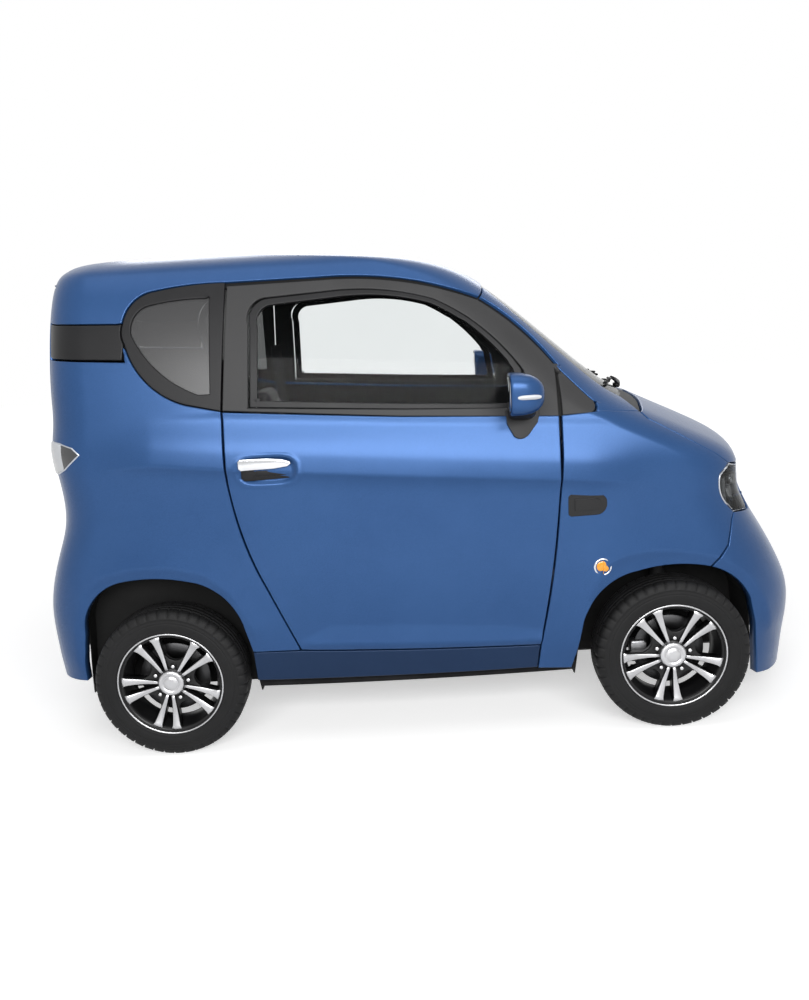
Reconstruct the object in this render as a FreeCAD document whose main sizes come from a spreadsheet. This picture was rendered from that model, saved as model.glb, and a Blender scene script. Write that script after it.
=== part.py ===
import FreeCAD, Part
import Sketcher
import math
import os

# Electric microcar: hollow two-seat cab, hinged doors, bonnet and tailgate, steered front wheels.
# X points to the front, Y to the car's left, Z up; the origin lies on the ground below the middle.
V = FreeCAD.Vector
os.makedirs("parts", exist_ok=True)
doc = FreeCAD.newDocument("microcar")

# Driving sizes in millimetres; each is bound to the pieces through the sheet.
sizes = {
    "wallThick": 34, "glassThick": 4, "glassInset": 10, "seamGap": 6, "frameGap": 14, "nosePlane": 845,
    "sideRadius": 9000, "axleOffset": 832, "wheelPlane": 587, "frameShift": 23.46,
    "tyreRadius": 254, "tyreWidth": 145, "treadWidth": 92, "rimRadius": 177, "rimSeat": 165, "rimWidth": 126,
    "rimWall": 8, "flangeThick": 6, "discRadius": 118, "discThick": 12, "discPlane": 20, "boreRadius": 18,
    "hubRadius": 76, "hubFace": 40, "capRadius": 43, "nutCircle": 54, "nutRadius": 9, "nutDepth": 8,
    "spokePairs": 5, "spokeLean": 11, "spokeFoot": 11, "spokeEnd": 28, "spokeBack": 30, "spokeFront": 58,
    "kingpinPlane": 548, "kingpinRadius": 9, "eyeRadius": 13, "tunnelWall": 380, "rearTunnelWall": 492,
    "linerThick": 4, "linerRoom": 6, "barRadius": 22, "floorLevel": 205, "floorThick": 28, "sillBottom": 240,
    "seatPlane": 262, "seatWide": 440, "seatLong": 440, "cushionBottom": 308.3, "cushionTall": 121.7,
    "cushionRear": -330, "backRear": -444, "backBottom": 302, "backTall": 610, "backThick": 110, "backLean": 14,
    "seatRound": 30, "batteryRear": -460, "batteryLong": 570, "batteryWide": 960, "batteryTall": 75,
    "motorLong": 300, "motorWide": 330, "motorTall": 240, "pinRadius": 2.6, "pinSeat": 5,
    "steerX": 360, "steerLevel": 850, "steerLean": 24, "steerRadius": 175, "steerTube": 14, "bossRadius": 44,
    "bossThick": 40, "bossSet": 30, "barThin": 9, "columnRadius": 24, "columnLong": 90,
    "sideLampX": 603, "sideLampZ": 573, "sideLampRadius": 31,
}
sheet = doc.addObject("Spreadsheet::Sheet", "sizes")
for row, (alias, value) in enumerate(sizes.items(), 1):
    sheet.set(f"A{row}", alias)
    sheet.set(f"B{row}", str(value))
    sheet.setAlias(f"B{row}", alias)
doc.recompute()


def val(alias):
    return float(sheet.get(alias))


def size(name, shift=0.0, factor=1.0):
    # A length from the sheet: its number now and the expression that binds it.
    return (factor * val(name) + shift, f"{factor} * sizes.{name} + {shift}")


def plain(number):
    return (float(number), None)


wall = val("wallThick")
gap = val("seamGap")
axle = val("axleOffset")
wheelPlane = val("wheelPlane")
tyreRadius = val("tyreRadius")
pinPlane = val("kingpinPlane")
nose = val("nosePlane")
made = []
frameMove = FreeCAD.Placement(V(-val("frameShift"), 0, 0), FreeCAD.Rotation())


def keep(label, shape):
    feature = doc.addObject("Part::Feature", label)
    feature.Shape = shape
    feature.Placement = frameMove.multiply(shape.Placement)
    feature.Label = label
    made.append(feature)
    return feature


# Plan sections of the body: level, rear end, front end, half width, corner and end radii.
lowerRows = [
    (110, -1288, 1324, 622, 150, 260, 2600, 1500),
    (200, -1290, 1332, 640, 150, 270, 2600, 1500),
    (300, -1293, 1342, 652, 155, 280, 2600, 1500),
    (400, -1299, 1344, 658, 160, 280, 2600, 1500),
    (500, -1298, 1312, 663, 165, 280, 2600, 1500),
    (600, -1277, 1260, 666, 170, 280, 2600, 1500),
    (700, -1242, 1203, 666, 175, 270, 2600, 1500),
    (780, -1216, 1171, 665, 180, 260, 2600, 1500),
    (845, -1209, 1164, 665, 180, 250, 2600, 1500),
]
upperRows = [
    (845, -1209, 1176, 665, 180, 250, 2600, 1450),
    (885, -1211, 1158, 665, 180, 245, 2600, 1450),
    (960, -1218, 1052, 662, 180, 235, 2600, 1400),
    (1040, -1224, 890, 652, 180, 225, 2600, 1400),
    (1120, -1213, 742, 634, 180, 215, 2600, 1500),
    (1220, -1208, 615, 612, 175, 205, 2600, 1700),
    (1340, -1200, 479, 583, 170, 195, 2600, 1900),
    (1460, -1186, 337, 548, 165, 185, 2600, 2100),
    (1540, -1169, 212, 518, 155, 175, 2600, 2100),
    (1582, -1152, 84, 490, 145, 165, 2600, 2000),
    (1606, -1130, -90, 452, 135, 155, 2600, 1900),
    (1626, -1100, -340, 380, 125, 140, 2600, 1800),
    (1640, -1045, -560, 270, 110, 120, 2600, 1700),
    (1647, -960, -680, 150, 80, 80, 2600, 1700),
]


def inner_centre(big, bigRadius, side, sideRadius, radius, sign):
    # Centre of the corner arc that runs into an end arc and a side arc.
    first = bigRadius - radius
    second = sideRadius - radius
    dx = side[0] - big[0]
    dy = side[1] - big[1]
    span = math.hypot(dx, dy)
    along = (first ** 2 - second ** 2 + span ** 2) / (2 * span)
    off = math.sqrt(max(first ** 2 - along ** 2, 0))
    px = big[0] + along * dx / span
    py = big[1] + along * dy / span
    pair = [(px - off * dy / span, py + off * dx / span), (px + off * dy / span, py - off * dx / span)]
    return max(pair, key=lambda p: sign * p[0])


def on_circle(centre, radius, towards):
    dx = towards[0] - centre[0]
    dy = towards[1] - centre[1]
    span = math.hypot(dx, dy)
    return (centre[0] + radius * dx / span, centre[1] + radius * dy / span)


def plan_section(level, rear, front, half, rearCorner, frontCorner, rearEnd, frontEnd, inset):
    rear += inset
    front -= inset
    half -= inset
    rearCorner = max(rearCorner - inset, 25)
    frontCorner = max(frontCorner - inset, 25)
    middle = (rear + front) / 2
    sideRadius = val("sideRadius")
    ends = [(front - frontEnd, 0.0), (rear + rearEnd, 0.0)]
    side = (middle, half - sideRadius)
    corners = []
    for centre, big, radius, sign in zip(ends, (frontEnd, rearEnd), (frontCorner, rearCorner), (1, -1)):
        hub = inner_centre(centre, big, side, sideRadius, radius, sign)
        onEnd = on_circle(centre, big, hub)
        onSide = on_circle(side, sideRadius, hub)
        between = ((onEnd[0] + onSide[0]) / 2, (onEnd[1] + onSide[1]) / 2)
        corners.append((onEnd, on_circle(hub, radius, between), onSide))
    (frontA, frontB, frontC), (rearA, rearB, rearC) = corners

    def arc(*points):
        return Part.Arc(*[V(x, y, level) for x, y in points]).toShape()

    def flip(point):
        return (point[0], -point[1])

    return Part.Wire([
        arc(flip(rearA), (rear, 0), rearA),
        arc(rearA, rearB, rearC),
        arc(rearC, (middle, half), frontC),
        arc(frontC, frontB, frontA),
        arc(frontA, (front, 0), flip(frontA)),
        arc(flip(frontA), flip(frontB), flip(frontC)),
        arc(flip(frontC), (middle, -half), flip(rearC)),
        arc(flip(rearC), flip(rearB), flip(rearA)),
    ])


def envelope(inset):
    top = upperRows[-1][0]
    lower = [plan_section(*row, inset) for row in lowerRows]
    upper = []
    for row in upperRows:
        above = max(row[0] - 1460, 0) / (top - 1460)
        drop = inset * above
        shrink = inset * (1 - 0.5 * above)
        upper.append(plan_section(row[0] - drop, *row[1:], shrink))
    return [Part.makeLoft(lower, True, False, False, 3), Part.makeLoft(upper, True, False, False, 3)]


def outline(points, plane):
    # Points are (a, b); one marked "via" is the middle of an arc to the next point.
    place = {"xz": lambda a, b: V(a, 0, b), "yz": lambda a, b: V(0, a, b), "xy": lambda a, b: V(a, b, 0)}[plane]
    edges = []
    start = None
    via = None
    for item in list(points) + [points[0]]:
        spot = place(item[0], item[1])
        if len(item) == 3:
            via = spot
            continue
        if start is not None:
            if via is not None:
                edges.append(Part.Arc(start, via, spot).toShape())
            elif (spot - start).Length > 0.01:
                edges.append(Part.LineSegment(start, spot).toShape())
        start = spot
        via = None
    return Part.Wire(edges)


def prism(points, plane, low, high, grow=0.0):
    wire = outline(points, plane)
    if grow:
        wire = wire.makeOffset2D(grow)
    along = {"xz": V(0, 1, 0), "yz": V(1, 0, 0), "xy": V(0, 0, 1)}[plane]
    face = Part.Face(wire)
    face.translate(along * low)
    return face.extrude(along * (high - low))


def block(x0, x1, y0, y1, z0, z1):
    return Part.makeBox(x1 - x0, y1 - y0, z1 - z0, V(x0, y0, z0))


def mirrored(shape):
    return shape.mirror(V(0, 0, 0), V(0, 1, 0))


def both(shape):
    return Part.Compound(shape.Solids + mirrored(shape).Solids)


def whole(lofts):
    return lofts[0].fuse(lofts[1])


outer = whole(envelope(0))
inner = whole(envelope(wall))
shell = outer.cut(inner)
far = 2000

# Side outlines (x, z) of the door, its window, the quarter window and the wheel arches.
doorLine = [(398, 318), (462, 690, "via"), (486, 1069), (481, 1222), (362, 1342, "via"), (226, 1436),
            (-4, 1514, "via"), (-245, 1534), (-546, 1530), (-577, 1147), (-576, 920), (-548, 752, "via"),
            (-486, 575), (-390, 345), (-65, 332, "via")]
windowLine = [(372, 1112), (352, 1204), (262, 1316, "via"), (97, 1435), (-20, 1466, "via"), (-150, 1477),
              (-400, 1474), (-452, 1448, "via"), (-466, 1387), (-470, 1168)]
quarterLine = [(-560, 1145), (-690, 1168), (-812, 1245, "via"), (-875, 1366), (-872, 1450, "via"),
               (-768, 1519), (-660, 1529, "via"), (-520, 1531)]
rearArch = [(-1134, 150), (-1110, 425), (-1066, 548, "via"), (-971, 601), (-856, 612, "via"), (-744, 598),
            (-642, 552, "via"), (-574, 448), (-538, 150)]
frontArch = [(500, 60), (540, 390), (600, 488, "via"), (721, 546), (849, 559, "via"), (962, 542),
             (1050, 490, "via"), (1097, 420), (1140, 60)]
# Outlines across the car (y, z) of the windscreen, tailgate and rear window.
screenLine = [(-455, 1092), (-466, 1130), (-461, 1270), (-440, 1392), (-405, 1478), (0, 1500, "via"), (405, 1478),
              (440, 1392), (461, 1270), (466, 1130), (455, 1092), (0, 1106, "via")]
gateLine = [(-500, 745), (-506, 1080), (-470, 1340), (-408, 1560), (408, 1560), (470, 1340), (506, 1080),
            (500, 745)]
rearGlassLine = [(-425, 1165), (-392, 1430), (0, 1440, "via"), (392, 1430), (425, 1165), (0, 1155, "via")]
lampLine = [(-1400, 1072), (-1165, 1078), (-1084, 1012), (-1145, 950), (-1400, 938)]
headLine = [(-545, 706), (-590, 745), (-600, 800), (-570, 852), (-330, 842), (-350, 720), (-420, 688)]
beltLine = [(-900, 1171), (-577, 1147), (-17, 1100), (486, 1066), (900, 1046), (900, 1900), (-900, 1900)]

half = gap / 2
doorHole = prism(doorLine, "xz", -far, -300, half)
frameHole = block(-577 - val("frameGap"), -520, -far, -300, 1147, 1534)
doorTool = prism(doorLine, "xz", -far, -300, -half)
arches = [prism(rearArch, "xz", -far, far), prism(frontArch, "xz", -far, far)]
belt = prism(beltLine, "xz", -far, far)
windowTool = prism(windowLine, "xz", -far, -300)
quarterTool = prism(quarterLine, "xz", -far, -300)
quarterPane = prism(quarterLine, "xz", -far, -300, -26)
screenTool = prism(screenLine, "yz", 120, 1000)
gateHole = prism(gateLine, "yz", -far, -1000, half)
gateTool = prism(gateLine, "yz", -far, -1000, -half)
rearPane = prism(rearGlassLine, "yz", -far, -1000)
lampTool = prism(lampLine, "xz", -far, -512)
headTool = prism(headLine, "yz", 880, far)


def layer(start, thick):
    return whole(envelope(start)).cut(whole(envelope(start + thick)))


glassLayer = layer(val("glassInset"), val("glassThick"))

# Doors.
doorWhole = shell.common(doorTool)
doorPanel = doorWhole.cut(belt)
doorUpper = doorWhole.common(belt)
doorFrame = doorUpper.cut(windowTool)
doorGlass = glassLayer.common(windowTool).common(belt)
handle = outer.common(block(-540, -350, -700, -560, 912, 990)).cut(whole(envelope(9)))
doorPanel = doorPanel.cut(block(-540, -350, -700, -600, 912, 990).cut(whole(envelope(9))))
mirrorFoot = block(330, 425, -640, -585, 1078, 1128)
mirrorArm = Part.makeCylinder(11, 90, V(376, -612, 1105), V(0, -1, 0.25))
mirrorHead = Part.makeBox(78, 116, 118, V(330, -800, 1094))
mirrorHead = mirrorHead.makeFillet(24, mirrorHead.Edges)
mirror = mirrorFoot.fuse(mirrorArm).fuse(mirrorHead).cut(outer)

# Hull with the openings cut.
hull = shell.cut(doorHole).cut(mirrored(doorHole)).cut(frameHole).cut(mirrored(frameHole))
for arch in arches:
    hull = hull.cut(arch)
hull = hull.cut(gateHole)
floorCut = block(-far, far, -far, far, -50, val("sillBottom"))
bumperCut = block(-far, 1000, -far, far, -50, val("sillBottom"))
hull = hull.cut(bumperCut)
lampSolid = hull.common(lampTool)
hull = hull.cut(lampTool).cut(mirrored(lampTool))
headSolid = hull.common(headTool)
hull = hull.cut(headTool).cut(mirrored(headTool))
quarterBlack = hull.common(quarterTool)
hull = hull.cut(quarterTool).cut(mirrored(quarterTool))

cowlTool = prism([(-520, 1056), (-455, 1092), (0, 1125, "via"), (455, 1092), (520, 1056), (389, 1000), (-389, 1000)], "yz",
                 700, 900)
roofZone = prism([(262, 1900), (262, 1475), (240, 1420), (-880, 1431), (-1400, 1452), (-1400, 1900)], "xz",
                 -far, far)
frontSeam = prism([(1066, 846), (1066, 750), (1040, 683), (1018, 607), (962, 542), (900, 60), (far, 60), (far, 846)], "xz",
                  -far, far)
rearSeam = prism([(-500, 742), (500, 742), (500, 60), (-500, 60)], "yz", -far, -1000)
bonnetLine = [(700, 1180), (758, 1051), (813, 1009), (874, 974), (937, 936), (988, 906), (1044, 865), (1100, 848),
              (far, 848), (far, 1180)]
bonnetRear = prism([(764, -600), (802, -390), (802, 390), (764, 600), (far, 600), (far, -600)], "xy", nose - half, 1200)
bonnetTool = prism(bonnetLine, "xz", -far, far).common(bonnetRear)
bonnetHole = prism(bonnetLine, "xz", -far, far, half)
bonnetHole = bonnetHole.common(prism([(764 - half, -600), (802 - half, -390), (802 - half, 390), (764 - half, 600),
                                      (far, 600), (far, -600)], "xy", nose - 2 * half, 1200))


def split(shape, tool):
    return shape.common(tool), shape.cut(tool)


bonnet = hull.common(bonnetTool)
hull = hull.cut(bonnetHole)
screen = glassLayer.common(screenTool)
hull = hull.cut(screenTool)
frontPart, hull = split(hull, frontSeam)
rearPart, hull = split(hull, rearSeam)
cowlPart, hull = split(hull, cowlTool)
roofPart, hull = split(hull, roofZone)
quarterZone = prism([(-far, 238), (-560, 238), (-560, 345), (-200, 345), (-200, 1900), (-far, 1900)], "xz", -far, far)
quarterPart, hull = split(hull, quarterZone)
pillarPart, hull = split(hull, block(200, far, -far, far, 1078, 1900))
sillPart, fenderPart = split(hull, block(-560, 512, -far, far, 238, 345))

gateWhole = outer.cut(inner).common(gateTool)
gatePanel = gateWhole.cut(rearPane)
gateGlass = glassLayer.common(rearPane)
bandTool = prism([(-far, 1350), (-1132, 1331), (-880, 1313), (-700, 1313), (-700, 1480), (-far, 1480)], "xz", -far, far)
bandPart, quarterPart = split(quarterPart, bandTool)
quarterGlass = glassLayer.common(quarterPane)
quarterRing = quarterBlack.cut(quarterPane)
grilleTool = prism([(-330, 175), (-380, 300), (380, 300), (330, 175)], "yz", 1000, far)
grille, frontPart = split(frontPart, grilleTool)

# Hinge pins of the doors, tailgate and bonnet lie in the seams, on the joints' own axes.
pinRadius = val("pinRadius")
pinSeat = val("pinSeat")


def door_pin(low, high):
    def spot(level):
        along = (level - 720) / 280
        return V(465.4 + 19.3 * along, -653.5 + 9 * along, level)
    start = spot(low)
    pin = Part.makeCylinder(pinRadius, (spot(high) - start).Length, start, spot(high) - start)
    return pin.fuse(block(spot(high).x, spot(high).x + 9, start.y - 1, start.y + 4, low, high))


def cross_pin(x, z, x0, x1, z0, z1):
    return Part.makeCylinder(pinRadius, 120, V(x, -60, z), V(0, 1, 0)).fuse(block(x0, x1, -60, 60, z0, z1))


pins = door_pin(692, 726)
fenderPart = fenderPart.fuse(pins).fuse(mirrored(pins))
roofPart = roofPart.fuse(cross_pin(-1160, 1560, -1161, -1155, 1560, 1560 + pinSeat))
cowlPart = cowlPart.fuse(cross_pin(764, 1103, 764 - pinSeat, 764, 1100, 1105))

# Side lamps and the charge port cover sit in cuts of the fenders.
sideLampSpot = V(val("sideLampX"), 0, val("sideLampZ"))
lampBore = Part.makeCylinder(val("sideLampRadius"), far, sideLampSpot, V(0, -1, 0))
sideLamp = Part.makeCylinder(val("sideLampRadius"), 38, sideLampSpot - V(0, 634, 0), V(0, -1, 0))
portTool = block(500, 620, -far, -560, 747, 816)
fenderPart = fenderPart.cut(lampBore).cut(mirrored(lampBore))
portCover, fenderPart = split(fenderPart, portTool)

keep("roof_panel", roofPart)
keep("windscreen_pillars", pillarPart)
keep("rear_quarters", quarterPart)
keep("front_fenders", fenderPart)
keep("sill_panels", sillPart)
keep("front_bumper", frontPart)
keep("rear_bumper", rearPart)
keep("front_grille", grille)
keep("cowl_panel", cowlPart)
keep("windscreen", screen)
keep("quarter_windows", both(quarterGlass))
keep("quarter_trims", Part.Compound(both(quarterRing).Solids + bandPart.Solids))
keep("headlamps", both(headSolid))
keep("tail_lamps", both(lampSolid))
keep("side_lamps", both(sideLamp))
keep("charge_port_cover", portCover)
keep("bonnet_panel", bonnet)
keep("tailgate_panel", gatePanel)
keep("tailgate_glass", gateGlass)
for side, turn in (("right", lambda s: s), ("left", mirrored)):
    keep(f"door_panel_{side}", turn(doorPanel))
    keep(f"door_frame_{side}", turn(doorFrame))
    keep(f"door_glass_{side}", turn(doorGlass))
    keep(f"door_handle_{side}", turn(handle))
    keep(f"door_mirror_{side}", turn(mirror))

# Floor, bulkheads and wheel arch liners.
liner = val("linerThick")
frontWall = val("tunnelWall")
rearWall = val("rearTunnelWall")
floorTop = val("floorLevel") + val("floorThick")


def tunnel(points, wallPlane, grow):
    return prism(points, "xz", -far, -(wallPlane - grow), grow if grow else 0.0)


# Dampers and the trailing arms pass through the liners with room around them.
room = val("linerRoom")
damperRoom = Part.makeCylinder(24 + room, 470, V(axle, -440, 150))
armRoom = block(-axle - 60, -500, -445 - room, -415 + room, 233 - room, 275 + room)
upperArmRoom = block(axle - 16 - room, axle + 16 + room, -pinPlane - 18, -300, 356 - room, 370 + room)
axleRoom = Part.makeCylinder(val("barRadius") + 2 * room, 200, V(-axle, -560, tyreRadius), V(0, 1, 0))
springRoom = Part.makeCylinder(34 + room, 300, V(-axle, -400, 200))
frontTunnel = tunnel(frontArch, frontWall, liner)
rearTunnel = tunnel(rearArch, rearWall, liner)
pan = block(-560, 655, -640, 640, val("floorLevel"), floorTop)
for piece in (block(-560, -540, -640, 640, floorTop, 455), block(-1190, -540, -640, 640, 430, 455),
              block(640, 655, -640, 640, floorTop, 1010)):
    pan = pan.fuse(piece)
pan = pan.common(inner).fuse(block(-560, 655, -590, 590, val("floorLevel"), floorTop))
for piece in (frontTunnel, rearTunnel):
    pan = pan.cut(piece).cut(mirrored(piece))
liners = (("front_arch_liners", frontArch, frontWall, frontTunnel),
          ("rear_arch_liners", rearArch, rearWall, rearTunnel))
for label, points, plane, solid in liners:
    piece = solid.cut(tunnel(points, plane, 0)).common(inner).cut(block(-far, far, -far, far, -50, 190))
    for hole in (damperRoom, upperArmRoom, axleRoom, armRoom, springRoom):
        piece = piece.cut(hole)
    keep(label, both(piece))
cabin = whole(envelope(wall + 9))
dash = prism([(482, 800), (470, 940), (520, 1032), (640, 1032), (640, 760), (560, 740)], "xz", -640, 640)
dash = dash.common(cabin)
keep("floor_pan", pan)
keep("dashboard", dash)



def bound(kind, label, expressions, kept=False):
    # A primitive or boolean whose properties follow the sheet.
    item = doc.addObject(kind, label)
    for prop, text in expressions.items():
        item.setExpression(prop, text)
    if kept:
        item.Label = label
        made.append(item)
    return item


def box_of(label, corner, extent, kept=False):
    names = ("Placement.Base.x", "Placement.Base.y", "Placement.Base.z", "Length", "Width", "Height")
    return bound("Part::Box", label, dict(zip(names, corner + extent)), kept)


# Battery and motor are plain blocks at their real place.
box_of("battery_block", ("sizes.batteryRear - sizes.frameShift", "-sizes.batteryWide / 2",
                         "sizes.floorLevel + sizes.floorThick"),
       ("sizes.batteryLong", "sizes.batteryWide", "sizes.batteryTall"), True)
motorBox = box_of("drive_motor", ("-sizes.axleOffset - sizes.motorLong / 2 - sizes.frameShift", "-sizes.motorWide / 2",
                                  "sizes.tyreRadius - sizes.motorTall / 2"),
                  ("sizes.motorLong", "sizes.motorWide", "sizes.motorTall"), True)

# Seats: rounded blocks for the cushions and for the leaning backs.
for label, rear, low, extent in (
        ("seat_cushions", "cushionRear", "cushionBottom", ("sizes.seatLong", "sizes.seatWide", "sizes.cushionTall")),
        ("seat_backs", "backRear", "backBottom", ("sizes.backThick", "sizes.seatWide", "sizes.backTall"))):
    halves = []
    for side, sign in (("Right", -1), ("Left", 1)):
        raw = box_of(label + side, (f"sizes.{rear} - sizes.frameShift", f"{sign} * sizes.seatPlane - sizes.seatWide / 2",
                                    f"sizes.{low}"), extent)
        if label == "seat_backs":
            raw.Placement.Rotation = FreeCAD.Rotation(V(0, 1, 0), -val("backLean"))
        doc.recompute()
        soft = doc.addObject("Part::Fillet", label + side + "Round")
        soft.Base = raw
        soft.Edges = [(edge + 1, val("seatRound"), val("seatRound")) for edge in range(12)]
        halves.append(soft)
    pair = doc.addObject("Part::Compound", label)
    pair.Links = halves
    pair.Label = label
    made.append(pair)

# Wheels: turned rims with five pairs of spokes, and turned tyres.


def origin_item(body, role):
    return [item for item in body.Origin.OriginFeatures if item.Role == role][0]


def drawn(body, name, role, points, lift=None):
    # A closed sketch of straight lines on an origin plane; each corner is tied to the sheet.
    sketch = body.newObject("Sketcher::SketchObject", name)
    sketch.AttachmentSupport = [(origin_item(body, role), "")]
    sketch.MapMode = "FlatFace"
    if lift:
        sketch.setExpression("AttachmentOffset.Base.z", lift)
    corners = [V(a[0], b[0], 0) for a, b in points]
    count = len(corners)
    for start, end in zip(corners, corners[1:] + corners[:1]):
        sketch.addGeometry(Part.LineSegment(start, end))
    for index in range(count):
        sketch.addConstraint(Sketcher.Constraint("Coincident", index, 2, (index + 1) % count, 1))
    for index, pair in enumerate(points):
        for kind, (number, expression) in zip(("DistanceX", "DistanceY"), pair):
            spot = sketch.addConstraint(Sketcher.Constraint(kind, -1, 1, index, 1, number))
            if expression:
                sketch.setExpression(f"Constraints[{spot}]", expression)
    return sketch


def turned(body, name, kind, points):
    # Points are (radius, y) in the wheel's own frame, whose outer face looks along -Y.
    feature = body.newObject(kind, name)
    feature.Profile = drawn(body, name + "Profile", "XY_Plane", points)
    feature.ReferenceAxis = (feature.Profile[0], ["V_Axis"])
    feature.Angle = 360
    return feature


def repeated(body, name, originals):
    pattern = body.newObject("PartDesign::PolarPattern", name)
    pattern.Originals = originals
    pattern.Axis = (origin_item(body, "Y_Axis"), [""])
    pattern.Angle = 360
    pattern.setExpression("Occurrences", "sizes.spokePairs")
    body.Tip = pattern
    doc.recompute()


def spoke_corner(reach, inset, width, side, sign):
    # One corner of a spoke that leans to either side of its pair's middle.
    angle = math.radians(90 + sign * val("spokeLean"))
    text = f"(90 deg + {sign} * sizes.spokeLean * 1 deg)"
    radius = f"(sizes.{reach} + {inset})"
    offset = f"{side} * sizes.{width} / 2"
    along = val(reach) + inset
    across = side * val(width) / 2
    return ((along * math.cos(angle) - across * math.sin(angle), f"{radius} * cos{text} - {offset} * sin{text}"),
            (along * math.sin(angle) + across * math.cos(angle), f"{radius} * sin{text} + {offset} * cos{text}"))


def rim_features(body, label):
    turned(body, label + "Barrel", "PartDesign::Revolution", [
        (size("rimSeat", -val("rimWall")), size("rimWidth", 0, -0.5)), (size("rimRadius"), size("rimWidth", 0, -0.5)),
        (size("rimRadius"), size("rimWidth", val("flangeThick"), -0.5)),
        (size("rimSeat"), size("rimWidth", val("flangeThick"), -0.5)),
        (size("rimSeat"), size("rimWidth", -val("flangeThick"), 0.5)),
        (size("rimRadius"), size("rimWidth", -val("flangeThick"), 0.5)),
        (size("rimRadius"), size("rimWidth", 0, 0.5)), (size("rimSeat", -val("rimWall")), size("rimWidth", 0, 0.5))])
    spokes = []
    for sign in (-1, 1):
        corners = [spoke_corner(*row, sign) for row in (
            ("hubRadius", -12, "spokeFoot", -1), ("rimSeat", -4, "spokeEnd", -1),
            ("rimSeat", -4, "spokeEnd", 1), ("hubRadius", -12, "spokeFoot", 1))]
        pad = body.newObject("PartDesign::Pad", f"{label}Spoke{len(spokes)}")
        pad.Profile = drawn(body, f"{label}SpokeOutline{len(spokes)}", "XZ_Plane", corners, "sizes.spokeBack")
        pad.setExpression("Length", "sizes.spokeFront - sizes.spokeBack")
        spokes.append(pad)
    doc.recompute()
    repeated(body, label + "Spokes", spokes)
    hubRear, hubStep, hubSlim = 30, -16, 48
    turned(body, label + "Hub", "PartDesign::Revolution", [
        (size("boreRadius"), plain(hubRear)), (plain(hubSlim), plain(hubRear)), (plain(hubSlim), size("discPlane")),
        (size("discRadius"), size("discPlane")), (size("discRadius"), size("discPlane", -val("discThick"))),
        (plain(hubSlim), size("discPlane", -val("discThick"))), (plain(hubSlim), plain(hubStep)),
        (size("hubRadius"), plain(hubStep - 2)), (size("hubRadius"), size("hubFace", 0, -1)),
        (size("capRadius"), size("hubFace", -4, -1)), (size("capRadius"), size("hubFace", -12, -1)),
        (size("capRadius", -9), size("hubFace", -16, -1)), (plain(0), size("hubFace", -18, -1)), (plain(0), plain(-10)),
        (size("boreRadius"), plain(-10))])
    dishRadius = 120
    turned(body, label + "Dish", "PartDesign::Groove", [
        (size("capRadius", 1), size("hubFace", -4, -1)), (size("hubRadius"), size("hubFace", -3, -1)),
        (plain(dishRadius), size("spokeFront", 8, -1)), (size("rimSeat", -8), size("spokeFront", 1, -1)),
        (size("rimSeat", -8), size("spokeFront", -12, -1)), (size("capRadius", 1), size("spokeFront", -12, -1))])
    doc.recompute()
    solidBefore = body.Tip.Shape.Volume
    nuts = body.newObject("Sketcher::SketchObject", label + "NutOutline")
    nuts.AttachmentSupport = [(origin_item(body, "XZ_Plane"), "")]
    nuts.MapMode = "FlatFace"
    nuts.setExpression("AttachmentOffset.Base.z", "sizes.hubFace + 8")
    nuts.addGeometry(Part.Circle(V(0, -val("nutCircle"), 0), V(0, 0, 1), val("nutRadius")))
    nuts.addConstraint(Sketcher.Constraint("PointOnObject", 0, 3, -2))
    for kind, first, alias in ((("DistanceY", 0, 3, -1, 1), 0, "nutCircle"), (("Radius", 0), 0, "nutRadius")):
        spot = nuts.addConstraint(Sketcher.Constraint(*kind, val(alias)))
        nuts.setExpression(f"Constraints[{spot}]", f"sizes.{alias}")
    seat = body.newObject("PartDesign::Pocket", label + "NutSeat")
    seat.Profile = nuts
    seat.setExpression("Length", "sizes.nutDepth + 8")
    doc.recompute()
    repeated(body, label + "NutSeats", [seat])
    if body.Shape.Volume >= solidBefore:
        raise ValueError("the nut seats cut nothing")


def tyre_features(body, label):
    turned(body, label + "Profile", "PartDesign::Revolution", [
        (size("rimSeat"), size("rimWidth", -6, 0.5)), (size("rimRadius"), size("rimWidth", -6, 0.5)),
        (size("rimRadius", 12), size("tyreWidth", -3, 0.5)), (size("tyreRadius", -40), size("tyreWidth", 0, 0.5)),
        (size("tyreRadius", -12), size("tyreWidth", -8, 0.5)), (size("tyreRadius", -3), size("treadWidth", 6, 0.5)),
        (size("tyreRadius"), size("treadWidth", -8, 0.5)), (size("tyreRadius"), size("treadWidth", 8, -0.5)),
        (size("tyreRadius", -3), size("treadWidth", -6, -0.5)), (size("tyreRadius", -12), size("tyreWidth", 8, -0.5)),
        (size("tyreRadius", -40), size("tyreWidth", 0, -0.5)), (size("rimRadius", 12), size("tyreWidth", 3, -0.5)),
        (size("rimRadius"), size("rimWidth", 6, -0.5)), (size("rimSeat"), size("rimWidth", 6, -0.5))])


# name, sign along X, sign along Y, half turn for the left side, turn about the axle
corners = (("front_right", 1, -1, 0, 42), ("front_left", 1, 1, 180, 42),
           ("rear_right", -1, -1, 0, 25), ("rear_left", -1, 1, 180, 25))
for name, ahead, aside, about, spin in corners:
    for label, features in (("tyre", tyre_features), ("rim", rim_features)):
        body = doc.addObject("PartDesign::Body", f"{label}_{name}")
        body.Label = f"{label}_{name}"
        features(body, f"{label}_{name}_")
        body.setExpression("Placement.Base.x", f"{ahead} * sizes.axleOffset - sizes.frameShift")
        body.setExpression("Placement.Base.y", f"{aside} * sizes.wheelPlane")
        body.setExpression("Placement.Base.z", "sizes.tyreRadius")
        body.Placement.Rotation = FreeCAD.Rotation(V(0, 0, 1), about) * FreeCAD.Rotation(V(0, 1, 0), spin)
        made.append(body)
doc.recompute()

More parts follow.
